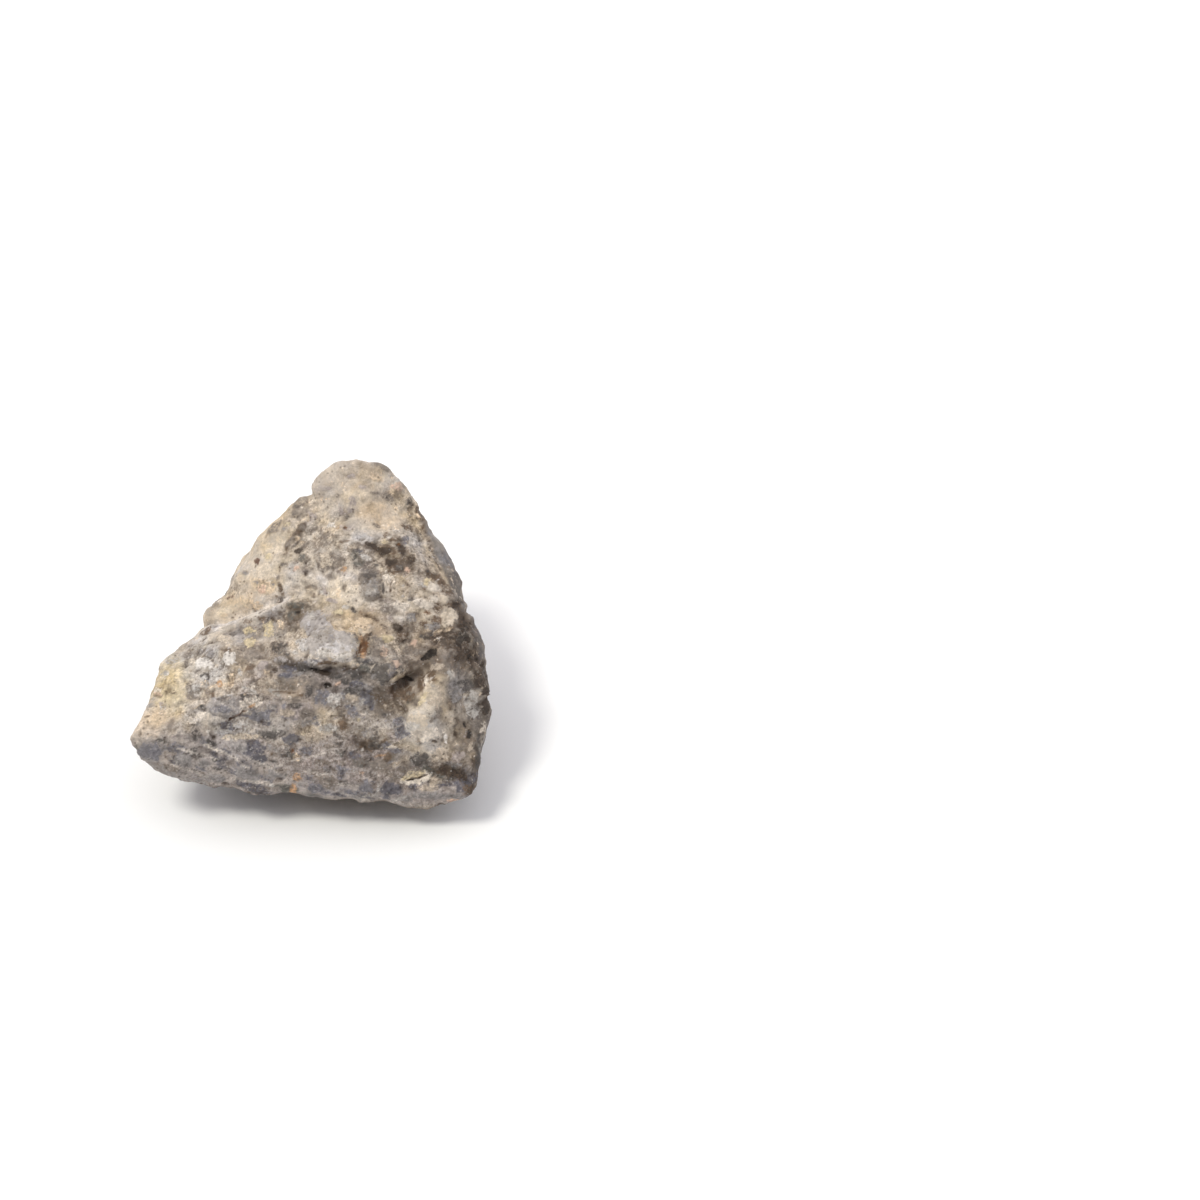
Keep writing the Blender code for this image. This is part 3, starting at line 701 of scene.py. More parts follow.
    (399, 722, 7, 6, 0, "blue_grey", 0.01),
    (404, 731, 8, 8, 0, "blue_grey", 0.0),
    # crease and lobe on the right
    # Painted shade: the black line in the crease and the brown below it, in the next three rows.
    (405, 681, 10, 2, -5, "black", -0.05),
    (404, 693, 9, 9, 0, "brown", 0.0),
    (396, 692, 3, 8, 5, "brown", -0.02),
    (431, 691, 8, 9, 15, "tan", 0.01),
    (423, 698, 3, 8, 25, "yellow", 0.0),
    (434, 687, 3, 3, 0, "grey", 0.0),
    (436, 702, 7, 5, 0, "dull_tan", 0.01),
    (418, 722, 11, 10, 0, "tan", 0.02),
    (414, 727, 7, 5, 0, "pale_grey", 0.0),
    (428, 734, 15, 6, 0, "cream", 0.01),
    (432, 716, 2.2, 1, 0, "dark_grey", -0.01),
    (415, 729, 1.6, 1.4, 0, "white", 0.0),
    (446, 739, 2, 5, 0, "white", 0.01),
    (456, 694, 9, 9, 0, "grey", 0.01),
    (466, 688, 6, 7, 0, "dark_grey", 0.0),
    (459, 683, 8, 2.6, -22, "dark_grey", -0.01),
    (470, 702, 5, 11, 8, "pale_grey", 0.01),
    (474, 712, 4, 6, 8, "pale_grey", 0.01),
    (484, 692, 8, 7, 0, "dark_brown", 0.02),
    (484, 702, 4, 14, 0, "dark_brown", 0.0),
    (465, 724, 2.2, 3.4, -10, "black", -0.03),
    (470, 733, 2.6, 4.5, -10, "black", -0.03),
    (477, 725, 6, 8, 0, "warm_grey", 0.0),
    (459, 757, 8, 6, 0, "mauve", 0.01),
    (470, 747, 3, 6, 25, "dull_tan", 0.01),
    (480, 760, 4, 10, 10, "dark_grey", 0.0),
    (434, 741, 5, 1.5, 10, "dark_brown", -0.02),
    (440, 755, 9, 6, -10, "dull_tan", 0.0),
    (434, 756, 1.3, 1.3, 0, "black", -0.03),
    (444, 755, 1.6, 1.4, 0, "black", -0.03),
    (441, 759, 1.2, 1.2, 0, "dark_brown", -0.03),
    (437, 761, 1.3, 1.2, 0, "dark_brown", -0.03),
    (418, 761, 10, 7.5, 0, "dark_grey", 0.01),
    (424, 757, 6, 6, 30, "dark_grey", 0.0),
    (449, 772, 12, 6.5, 12, "dark_brown", -0.01),
    (461, 776, 6, 6, 0, "dark_brown", 0.0),
    (448, 780, 7, 3.5, 0, "dark_grey", 0.0),
    (446, 791, 10, 4, 0, "haze", 0.0),
    (435, 781, 5, 5, 0, "dull_tan", 0.01),
    (471, 789, 7, 6, 0, "brown", 0.0),
    (404, 769, 8, 5, 0, "warm_grey", 0.0),
    (415, 771, 9, 3, -8, "warm_grey", 0.0),
    (417, 779, 17, 6, -14, "cream", 0.03),
    (414, 776, 13, 3.4, -14, "yellow", 0.0),
    (417, 778, 12, 1.4, -14, "dark_brown", -0.04),
    (428, 788, 11, 3.5, -5, "dull_tan", 0.01),
    (428, 796, 22, 4, 0, "grey", 0.0),
    (456, 797, 9, 4, -6, "grey", 0.0),
    (455, 800, 10, 1.6, -6, "pink", 0.0),
    # front face, from the left end to the middle
    (150, 751, 12, 9, 15, "blue_grey", 0.02),
    (176, 748, 11, 5, 8, "blue_grey", 0.01),
    (184, 760, 12, 7, 10, "grey", 0.02),
    (171, 768, 9, 4, 20, "warm_grey", 0.01),
    (196, 717, 12, 7, -10, "cream", 0.0),
    (196, 735, 5, 6, 0, "dark_grey", 0.01),
    (211, 742, 7, 3.6, 28, "dark_grey", 0.01),
    (227, 727, 8, 4, 8, "slate", 0.01),
    (214, 754, 6, 3, 15, "slate", 0.01),
    (223, 760, 4.5, 4, 0, "slate", 0.01),
    (217, 768, 5, 2, 10, "dark_grey", 0.0),
    (203, 764, 6, 4, 0, "grey", 0.01),
    (201, 775, 5, 3, 0, "warm_grey", 0.0),
    (218, 778, 9, 4, 0, "grey", 0.01),
    (214, 749, 11, 1.6, 22, "cream", 0.0),
    (242, 737, 20, 3, -2, "tan", 0.0),
    (226, 707, 20, 10.5, 4, "grey", 0.035),
    (226, 706, 17, 8.5, 4, "ash", 0.0),
    (222, 710, 11, 4, 4, "blue_grey", 0.0),
    (230, 701, 12, 4, 4, "grey", 0.0),
    (252, 702, 11, 6, 0, "cream", 0.0),
    (246, 711, 4, 4, 0, "cream", 0.0),
    (222, 699, 6, 3, 0, "dark_grey", 0.0),
    (237, 716, 14, 1.2, -28, "rust", -0.04),
    (252, 706, 4, 1.4, -35, "orange", -0.02),
    (259, 717, 10, 7, 15, "blue_grey", 0.03),
    (266, 723, 7, 2.4, 12, "slate", 0.0),
    (285, 692, 12, 1.3, 5, "brown", -0.02),
    (300, 696, 4, 2.4, -20, "brown", -0.02),
    (278, 699, 9, 1.6, 0, "warm_grey", 0.0),
    (299, 711, 17, 8, 0, "mauve", 0.0),
    (286, 713, 7, 5, 0, "dull_tan", 0.0),
    (307, 714, 8, 6, 0, "warm_grey", 0.0),
    (294, 705, 8, 3, 5, "dark_grey", 0.0),
    (272, 707, 6, 3, 0, "grey", 0.0),
    (308, 692, 5, 8, 0, "dark_grey", 0.0),
    (304, 681, 8, 5, 0, "warm_grey", 0.0),
    (295, 700, 10, 3, 0, "warm_grey", 0.0),
    (317, 700, 4, 5, 0, "blue_grey", 0.0),
    (268, 735, 10, 5, 8, "dark_grey", 0.02),
    (282, 733, 5, 3.4, 0, "dark_grey", 0.01),
    (291, 740, 9, 6.5, 5, "slate", 0.03),
    (251, 748, 14, 8, 8, "slate", 0.01),
    (238, 746, 6, 6, 0, "grey", 0.01),
    (258, 757, 9, 5.5, 18, "slate", 0.02),
    (247, 773, 13, 6.5, 8, "grey", 0.02),
    (243, 763, 3, 3, 0, "slate", 0.0),
    (275, 774, 9, 5.5, 0, "grey", 0.02),
    (282, 770, 5, 2.6, 0, "warm_grey", 0.0),
    (274, 761, 5, 1.8, 0, "dark_grey", 0.0),
    (285, 755, 6, 2.4, 5, "dark_grey", 0.0),
    (272, 754, 2.2, 1.8, 0, "brown", 0.0),
    (307, 750, 6, 6, 0, "blue_grey", 0.01),
    (303, 733, 2, 2, 0, "yellow", 0.0),
    (293, 751, 2.6, 2.4, 0, "rust", -0.01),
    (297, 757, 3, 5, 0, "ochre", 0.0),
    (297, 778, 5, 4.2, 0, "orange", 0.0),
    (293, 788, 4, 5, 0, "orange", 0.0),
    (316, 789, 10, 5, 0, "blue_grey", 0.0),
    (285, 748, 7, 3, 0, "vein", 0.0),
    (307, 766, 8, 7, 0, "mauve", 0.01),
    (268, 784, 7, 2, 5, "pale_grey", 0.0),
    (233, 758, 22, 1.3, 32, "vein", 0.0),
    (262, 764, 20, 1.2, 25, "vein", 0.0),
    (250, 781, 24, 1.2, 8, "vein", 0.0),
    (196, 753, 24, 1.3, 15, "vein", 0.0),
    (190, 771, 20, 1.2, 20, "vein", 0.0),
    (286, 763, 18, 1.2, -20, "vein", 0.0),
    (276, 744, 14, 1.2, 35, "vein", 0.0),
    (318, 755, 16, 1.2, -12, "vein", 0.0),
    (318, 773, 16, 1.2, 10, "vein", 0.0),
    (345, 784, 18, 1.2, 6, "vein", 0.0),
    (300, 722, 12, 1.2, -25, "vein", 0.0),
    # front face, from the middle to the right
    (365, 746, 8, 6, 0, "brown", 0.0),
    (374, 745, 7, 5, 0, "dark_grey", 0.0),
    (384, 740, 6, 1.8, -20, "brown", -0.01),
    (362, 749.5, 1.6, 1.5, 0, "white", 0.02),
    (367, 733, 7, 5, 0, "grey", 0.01),
    (352, 755, 8, 4, 15, "slate", 0.0),
    (379, 764, 10, 6, 0, "warm_grey", 0.02),
    (388, 756, 4, 5, 0, "brown", 0.0),
    (381, 755, 6, 1.2, -12, "orange", -0.01),
    (395, 764, 5, 3, -20, "dull_tan", 0.0),
    (366, 787, 9, 7, 0, "blue_grey", 0.03),
    (391, 790, 12, 7, 5, "slate", 0.03),
    (379, 785, 1.6, 9, 8, "pale_grey", 0.0),
    (371, 796, 9, 1.3, -5, "pale_grey", 0.0),
    (406, 799, 8, 4, 0, "grey", 0.0),
    (399, 799, 9, 1.3, -18, "pale_grey", 0.0),
    (328, 782, 9, 6, 0, "warm_grey", 0.01),
    (341, 775, 4, 4.5, 0, "slate", 0.0),
    (323, 762, 9, 3, 0, "warm_grey", 0.0),
    (340, 762, 7, 2.4, 10, "warm_grey", 0.0),
    (362, 772, 3.4, 2, 0, "pink", 0.0),
    (330, 746, 9, 2.4, 0, "warm_grey", 0.0),
    (344, 736, 4, 4, 0, "warm_grey", 0.0),
    (316, 733, 9, 6, 0, "dull_tan", 0.01),
    (329, 728, 8, 5, 0, "pale_grey", 0.01),
]

# Tones of the unnamed clasts, in the tan crust and in the fresher grey stone.
TAN_TONES = ["cream", "dull_tan", "pale_grey", "ochre", "mauve", "warm_grey", "tan", "brown"]
GREY_TONES = ["blue_grey", "slate", "grey", "dark_grey", "green_grey", "warm_grey", "mauve", "grey"]

# How red, green and blue drift with the hue of the matrix.
HUE_DRIFT = np.array([0.16, 0.02, -0.30])


def linear(tone):
    """The colour of the surface that shows as a tone, in linear light."""
    value = np.array(TONES[tone]) / 255.0
    return EXPOSURE * np.where(value <= 0.04045, value / 12.92, ((value + 0.055) / 1.055) ** 2.4)


def tinted(colour, tone, share):
    """Colours moved towards a tone, by a share on each point."""
    return colour + (linear(tone) - colour) * share[:, None]


def camera_axes():
    """The camera's right, up and forward directions."""
    azimuth, down, roll = (math.radians(a) for a in (CAMERA_AZIMUTH, CAMERA_DOWN, CAMERA_ROLL))
    level = math.cos(down)
    forward = Vector((-math.sin(azimuth) * level, math.cos(azimuth) * level, -math.sin(down)))
    right = Vector((math.cos(azimuth), math.sin(azimuth), 0.0))
    up = right.cross(forward)
    tilted_right = math.cos(roll) * right + math.sin(roll) * up
    tilted_up = math.cos(roll) * up - math.sin(roll) * right
    return tilted_right, tilted_up, forward


def picture_pixels(points):
    """Where points of the stone, in mm, show in the picture."""
    right, up, forward = (np.array(axis) for axis in camera_axes())
    offset = points - np.array(CAMERA_PLACE)
    depth = offset @ forward
    focal = CAMERA_FOCAL * PICTURE
    across = PICTURE / 2 + focal * (offset @ right) / depth
    down = PICTURE / 2 - focal * (offset @ up) / depth
    return across, down


def smooth(value, low, high):
    """0 up to low, 1 from high on, and a smooth rise between them."""
    part = np.clip((value - low) / (high - low), 0.0, 1.0)
    return part * part * (3.0 - 2.0 * part)


def hashed(ix, iy, iz, seed):
    """A number from 0 to 1 for each lattice cell."""
    mixed = (ix * 73856093) ^ (iy * 19349663) ^ (iz * 83492791) ^ (seed * 48271 + 11)
    mixed &= 0xFFFFFFFF
    mixed = ((mixed ^ (mixed >> 15)) * 739981397) & 0xFFFFFFFF
    mixed = ((mixed ^ (mixed >> 13)) * 1274126177) & 0xFFFFFFFF
    return ((mixed ^ (mixed >> 16)) & 0xFFFFFF) / 0xFFFFFF


def swell(points, size, seed):
    """Smooth random values from -1 to 1 that change over a length of size."""
    scaled = points / size + 137.3
    low = np.floor(scaled).astype(np.int64)
    part = scaled - low
    part = part * part * (3.0 - 2.0 * part)
    total = np.zeros(len(points))
    for corner in product((0, 1), repeat=3):
        x, y, z = (part[:, axis] if step else 1.0 - part[:, axis] for axis, step in enumerate(corner))
        total += x * y * z * hashed(*(low + corner).T, seed)
    return total * 2.0 - 1.0


def rough(points, size, octaves, seed, gain=0.55):
    """Random values of several sizes, each half the one before."""
    total = np.zeros(len(points))
    weight, full = 1.0, 0.0
    for octave in range(octaves):
        total += weight * swell(points, size / 2**octave, seed + octave * 17)
        full += weight
        weight *= gain
    return total / full


def cells(points, size, seed):
    """Irregular cells: how far inside its cell each point is, in mm, and two numbers from 0 to 1 that
    belong to the cell."""
    scaled = points / size + 211.7
    low = np.floor(scaled).astype(np.int64)
    nearest = np.full(len(points), 9.0)
    second = np.full(len(points), 9.0)
    one = np.zeros(len(points))
    two = np.zeros(len(points))
    for step in product((-1, 0, 1), repeat=3):
        place = (low + step).T
        gap = [place[axis] + hashed(*place, seed + 1 + axis) - scaled[:, axis] for axis in range(3)]
        distance = np.sqrt((np.stack(gap) ** 2).sum(axis=0))
        closer = distance < nearest
        second = np.where(closer, nearest, np.minimum(second, distance))
        nearest = np.where(closer, distance, nearest)
        one = np.where(closer, hashed(*place, seed + 4), one)
        two = np.where(closer, hashed(*place, seed + 5), two)
    return (second - nearest) * 0.5 * size, one, two


def array_of(data, name, width):
    """A property of all points as an array with a row for each of them."""
    values = np.empty(len(data) * width, np.float32)
    data.foreach_get(name, values)
    return values.reshape(-1, width).astype(float)


def fine_skin(node):
    """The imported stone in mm, under an even fine skin with its facets smoothed away."""
    mesh = node.data.copy()
    mesh.transform(Matrix.Scale(1.0 / MM, 4))
    carrier = bpy.data.objects.new("carrier", mesh)
    bpy.context.scene.collection.objects.link(carrier)
    weld = carrier.modifiers.new("weld", "WELD")
    weld.merge_threshold = 0.001
    skin = carrier.modifiers.new("skin", "REMESH")
    skin.mode = "VOXEL"
    skin.voxel_size = SKIN
    rounding = carrier.modifiers.new("rounding", "SMOOTH")
    rounding.iterations = SMOOTHING
    rounding.factor = 0.5
    bpy.context.view_layer.update()
    evaluated = carrier.evaluated_get(bpy.context.evaluated_depsgraph_get())
    result = bpy.data.meshes.new_from_object(evaluated)
    bpy.data.objects.remove(carrier)
    bpy.data.meshes.remove(mesh)
    return result


class Around:
    """The points next to each point of a mesh."""

    def __init__(self, mesh):
        pairs = np.empty(len(mesh.edges) * 2, np.int32)
        mesh.edges.foreach_get("vertices", pairs)
        self.one, self.other = pairs.reshape(-1, 2).T
        self.count = np.bincount(pairs, minlength=len(mesh.vertices))

    def mean(self, values):
        many = len(values)
        total = np.bincount(self.one, values[self.other], many)
        total += np.bincount(self.other, values[self.one], many)
        return total / self.count

    def evened(self, values):
        """Values on the points with their small gaps closed and their steps blended."""
        for step in range(CLOSINGS):
            values = np.maximum(values, self.mean(values))
        for step in range(BLENDINGS):
            values = (values + self.mean(values)) / 2.0
        return values


def ease(mesh):
    """The form made rounder in the places of EASED."""
    points = array_of(mesh.vertices, "co", 3)
    across, down = picture_pixels(points)
    around = Around(mesh)
    for u, v, radius, rounds in EASED:
        share = 0.7 * smooth(-np.hypot(across - u, down - v), -radius, -0.4 * radius)
        for step in range(rounds):
            middle = np.stack([around.mean(axis) for axis in points.T], axis=1)
            points += (middle - points) * share[:, None]
    mesh.vertices.foreach_set("co", points.astype(np.float32).ravel())
    mesh.update()


def seen_in_picture(mesh, points, normals):
    """1 where the picture shows the surface, 0 where it is turned away or hidden; and the same with the
    strip just beyond the outline."""
    tree = BVHTree.FromPolygons(points.tolist(), [tuple(face.vertices) for face in mesh.polygons])
    to_camera = np.array(CAMERA_PLACE) - points
    to_camera /= np.linalg.norm(to_camera, axis=1)[:, None]
    facing = (normals * to_camera).sum(axis=1)
    seen = smooth(facing, 0.0, 0.1)
    for index in np.nonzero(seen > 0)[0]:
        way = Vector(to_camera[index])
        start = Vector(points[index]) + way * OFF_THE_SKIN
        if tree.ray_cast(start, way)[0] is not None:
            seen[index] = 0.0
    beyond = smooth(facing, -0.45, -0.1) * (facing < 0.05)
    outlined = np.maximum(np.minimum(seen * 5.0, 1.0), beyond)
    around = Around(mesh)
    return np.maximum(seen, around.evened(seen)), around.evened(outlined)


class Skin:
    """The fine skin's points with what is painted and carved on each of them."""

    def __init__(self, mesh):
        self.mesh = mesh
        self.points = array_of(mesh.vertices, "co", 3)
        self.normals = array_of(mesh.vertices, "normal", 3)
        self.across, self.down = picture_pixels(self.points)
        self.seen, self.outlined = seen_in_picture(mesh, self.points, self.normals)
        self.stray = [rough(self.points, 0.30, 4, seed, 0.75) for seed in (31, 37)]

    def in_ellipse(self, ellipse, wander=0.0):
        """Where each point is along and over an ellipse in the picture, in its half sizes."""
        u, v, half_width, half_height, tilt = ellipse
        turn = math.radians(tilt)
        dx = self.across - u + self.stray[0] * wander
        dy = self.down - v + self.stray[1] * wander
        along = (dx * math.cos(turn) + dy * math.sin(turn)) / half_width
        over = (dy * math.cos(turn) - dx * math.sin(turn)) / half_height
        return along, over

    def spot(self, ellipse, outer, inner):
        """1 in an ellipse of the picture, falling to 0 between two shares of its half sizes."""
        along, over = self.in_ellipse(ellipse)
        return smooth(-np.sqrt(along**2 + over**2), -outer, -inner)

    def stroke(self, line, half_width):
        """1 along a line of picture points, falling to 0 a half width away."""
        gap = np.full(len(self.points), 99.0)
        across = self.across + self.stray[0] * 3.0
        down = self.down + self.stray[1] * 3.0
        for (u0, v0), (u1, v1) in zip(line, line[1:]):
            du, dv = u1 - u0, v1 - v0
            along = ((across - u0) * du + (down - v0) * dv) / (du * du + dv * dv)
            along = np.clip(along, 0.0, 1.0)
            gap = np.minimum(gap, np.hypot(across - u0 - along * du, down - v0 - along * dv))
        return smooth(-gap, -half_width, 0.0)

    def clast_edge(self, ellipse, wander):
        """How far inside an uneven clast each point is, in mm, negative outside it."""
        along, over = self.in_ellipse(ellipse, wander)
        half_width, half_height = ellipse[2:4]
        reach = np.sqrt(along**2 + over**2) + 1e-6
        slope = np.sqrt((along / half_width) ** 2 + (over / half_height) ** 2) / reach
        return (1.0 - reach) / slope / PIXELS_PER_MM


def main():
    mesh = fine_skin(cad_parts["meteorite"])
    ease(mesh)
    skin = Skin(mesh)
    paint(skin)
    carve(skin)
    piece = put_in_place(skin)
    piece.data.materials.append(stone_material())
    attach(piece, "root")
    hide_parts("meteorite")
    lay_floor()
    light_up()
    set_camera()


def paint(skin):
    skin.fresh = grey_share(skin)
    skin.calm = calm_share(skin)
    patchy = patchy_share(skin)
    skin.grime = np.clip(patchy, 0.0, 1.0) * (1.0 - skin.calm)
    skin.ground = smudged_and_underside_shaded(skin, matrix_tint(skin), patchy)
    scatter_clasts(skin)
    set_clasts(skin)


def grey_share(skin):
    """How much of the grey stone shows: named areas in the picture, chance elsewhere."""
    points, seen = skin.points, skin.seen
    chance = smooth(rough(points, 3.0, 3, 5) - 0.10 * (points[:, 2] - 2.4), -0.12, 0.22)
    fresh = np.zeros(len(points))
    for *ellipse, share in FRESH:
        fresh = np.maximum(fresh, skin.spot(ellipse, 1.15, 0.8) * share)
    fresh = seen * fresh + (1.0 - seen) * chance
    for ellipse in CRUST:
        fresh *= 1.0 - seen * skin.spot(ellipse, 1.15, 0.8)
    return fresh


def calm_share(skin):
    """How smooth the stone is, from 0 to 1."""
    calm = np.zeros(len(skin.points))
    for *ellipse, share in CALM:
        calm = np.maximum(calm, skin.spot(ellipse, 1.2, 0.7) * share * skin.seen)
    return calm


def patchy_share(skin):
    """How grimy the stone is, from 0 to 1."""
    patchy = smooth(rough(skin.points, 1.1, 2, 43), -0.25, 0.35)
    for *ellipse, share in GRIMY:
        inside = skin.spot(ellipse, 1.3, 0.6) * skin.seen
        patchy += (share - patchy) * inside
    return patchy


def matrix_tint(skin):
    """The broad colours of the matrix."""
    points, seen, fresh = skin.points, skin.seen, skin.fresh[:, None]
    broad = rough(points, 1.3, 4, 21)[:, None]
    warm = linear("tan") + (linear("ochre") - linear("dull_tan")) * broad
    cool = linear("vein") + (linear("grey") - linear("blue_grey")) * broad
    ground = warm * (1.0 - fresh) + cool * fresh
    for *ellipse, tone, strength in ZONES:
        ground = tinted(ground, tone, skin.spot(ellipse, 1.25, 0.6) * strength * seen)
    crumbs = 1.0 - 0.65 * smooth(rough(points, 0.17, 3, 71, 0.75), 0.02, 0.22)
    for line, half_width, tone, strength in SHADES:
        inside = np.minimum(skin.stroke(line, half_width) * 1.6 * strength, 1.0) * seen
        inside *= 1.0 if tone in UNBROKEN else crumbs
        ground = tinted(ground, tone, inside)
    return ground


def smudged_and_underside_shaded(skin, ground, patchy):
    """The matrix with its smudges, painted shade where it faces down, and its drifts of hue and of light
    crust.
    """
    points, fresh = skin.points, skin.fresh
    smudge_and_shade = smooth(rough(points, 0.26, 4, 41, 0.75), 0.16 - 0.16 * patchy, 0.34 - 0.14 * patchy)
    smudge_and_shade *= (0.35 + 0.4 * patchy) * (1.0 - 0.4 * fresh) * (1.0 - skin.calm)
    ground = tinted(ground, "smudge_and_shade", smudge_and_shade)
    # Painted shade: darker where the surface faces down, on the underside.
    ground = tinted(ground, "smudge_and_shade", smooth(-skin.normals[:, 2], 0.25, 0.8) * 0.8)
    hue = rough(points, 0.75, 4, 55, 0.75)[:, None] * HUE_DRIFT * (1.0 - 0.75 * fresh[:, None])
    ground = ground * (1.0 + hue)
    blush = smooth(rough(points, 0.5, 4, 47, 0.7), 0.05, 0.3) * 0.35 * (1.0 - fresh)
    return tinted(ground, "cream", blush)


def scatter_clasts(skin):
    """Unnamed clasts all over the stone."""
    points, seen, fresh = skin.points, skin.seen, skin.fresh
    skin.edge = np.full(len(points), -0.2)
    skin.rag = np.full(len(points), 0.04)
    skin.clast = skin.ground.copy()
    bent = points + np.stack([rough(points, 0.6, 3, seed, 0.7) for seed in (61, 62, 63)], axis=1) * 0.22
    tans, greys = (np.array([linear(tone) for tone in tones]) for tones in (TAN_TONES, GREY_TONES))
    taken = np.zeros(len(points), bool)
    for size, seed, tan_share, grey_share, hidden_by, gap in GENERIC:
        inside, one, two = cells(bent @ FLOW.T, size, seed)
        share = tan_share * (1.0 - fresh) + grey_share * fresh
        share *= (1.0 - QUIET * seen * (1.0 - fresh)) * (1.0 - 0.85 * skin.calm)
        share *= 1.0 - seen * hidden_by
        own = np.where((one < share) & ~taken, inside - gap * (0.6 + 0.8 * two), -inside - 0.01)
        taken |= one < share
        pick = (two * (len(tans) - 0.001)).astype(int)
        tones = np.where((fresh > 0.5)[:, None], greys[pick], tans[pick])
        tones = tones * (0.9 + 0.2 * ((two * 53.0) % 1.0))[:, None]
        over = own > skin.edge
        skin.edge = np.where(over, own, skin.edge)
        skin.rag = np.where(over, 0.09 * size, skin.rag)
        skin.clast = np.where(over[:, None], tones, skin.clast)


def set_clasts(skin):
    """The clasts of the picture, on the side that it shows."""
    skin.raised = np.zeros(len(skin.points))
    skin.whole = np.zeros(len(skin.points))
    for *ellipse, tone, relief in CLASTS:
        u, v, half_width, half_height, tilt = ellipse
        reach = half_width + half_height + MOST_STRAY
        close = (np.abs(skin.across - u) < reach) & (np.abs(skin.down - v) < reach)
        near = np.nonzero(close & (skin.seen > 0.3))[0]
        least = min(half_width, half_height)
        own = skin.clast_edge(ellipse, min(7.0, 0.9 * least + 0.6))[near]
        over = own > np.minimum(skin.edge[near], 0.0)
        kept = near[over]
        skin.clast[kept] = linear(tone)
        skin.rag[kept] = min(0.11, 0.45 * least / PIXELS_PER_MM)
        skin.whole[kept] = 1.0 if abs(relief) >= 0.02 else 0.0
        skin.edge[near] = np.where(over, own, skin.edge[near])
        skin.raised[near] += relief * smooth(own, -0.02, 0.05)


def carve(skin):
    """How far each point is lifted, in mm; where dirt and painted shade darken the low places; and the
    painted highlight on raised points.
    """
    points = skin.points
    lift = 0.055 * rough(points, 0.50, 5, 81, 0.62)
    inside, one, two = cells(points, 0.28, 91)
    lift += 0.040 * smooth(inside, 0.0, 0.10) * (one - 0.4)
    pits = smooth(rough(points, 0.22, 2, 97), 0.34, 0.7)
    worn = smooth(-np.abs(rough(points, 0.36, 3, 93, 0.7)), -0.075, 0.0) * (0.25 + 0.75 * skin.grime)
    lift -= 0.045 * worn
    lift -= 0.045 * pits
    lift *= 1.0 - 0.6 * skin.calm
    pits *= 1.0 - skin.calm
    lift += skin.raised
    lift += 0.012 * smooth(skin.edge, -0.02, 0.04)
    # Dirt and painted shade: darker in pits, in low places and in worn grooves.
    dirt_and_shade_share = 0.8 * pits + smooth(-lift, 0.01, 0.06) * 0.35 + 0.5 * worn * (1.0 - 0.5 * skin.fresh)
    broken = 0.7 + 0.6 * rough(points, 0.3, 3, 99)
    # Grooves are also darkened by dirt and painted shade.
    for line, half_width, height, grime in STROKES:
        mark = skin.stroke(line, half_width) * broken * skin.seen
        lift += height * mark
        dirt_and_shade_share = np.maximum(dirt_and_shade_share, grime * mark)
    for line, half_width, height in LUMPS:
        lift += height * skin.stroke(line, half_width) * skin.outlined
    shown = np.where((skin.edge > 0.0)[:, None], skin.clast, skin.ground).mean(axis=1)
    skin.hollow = np.clip(dirt_and_shade_share, 0.0, 1.0)
    # Painted highlight: lighter where the surface is raised and its colour isn't dark.
    skin.knob = smooth(lift, 0.015, 0.07) * smooth(shown, 0.02, 0.16)
    skin.height = lift * smooth(points[:, 2], 0.01, 0.30)


def put_in_place(skin):
    """The carved skin as an object in metres, with what is painted on it as attributes."""
    mesh = skin.mesh
    moved = skin.points + skin.normals * skin.height[:, None]
    moved[:, 2] = np.maximum(moved[:, 2], 0.0)
    low, high = (np.array(corner) / MM for corner in cad_box)
    spare = SPARE * (high - low)
    moved = np.clip(moved, low - spare * np.array([1.0, 1.0, 0.0]), high + spare)
    mesh.vertices.foreach_set("co", (moved * MM).astype(np.float32).ravel())
    for name in POINT_COLOURS:
        layer = mesh.attributes.new(name, "FLOAT_COLOR", "POINT")
        filled = np.ones((len(moved), 4), np.float32)
        filled[:, :3] = np.clip(getattr(skin, name), 0.0, 1.0)
        layer.data.foreach_set("color", filled.ravel())
    for name in POINT_VALUES:
        layer = mesh.attributes.new(name, "FLOAT", "POINT")
        layer.data.foreach_set("value", getattr(skin, name).astype(np.float32))
    mesh.polygons.foreach_set("use_smooth", np.ones(len(mesh.polygons), bool))
    mesh.materials.clear()
    mesh.update()
    return added("meteorite_skin", mesh)


def added(name, data):
    """A new object in the scene."""
    thing = bpy.data.objects.new(name, data)
    bpy.context.scene.collection.objects.link(thing)
    return thing


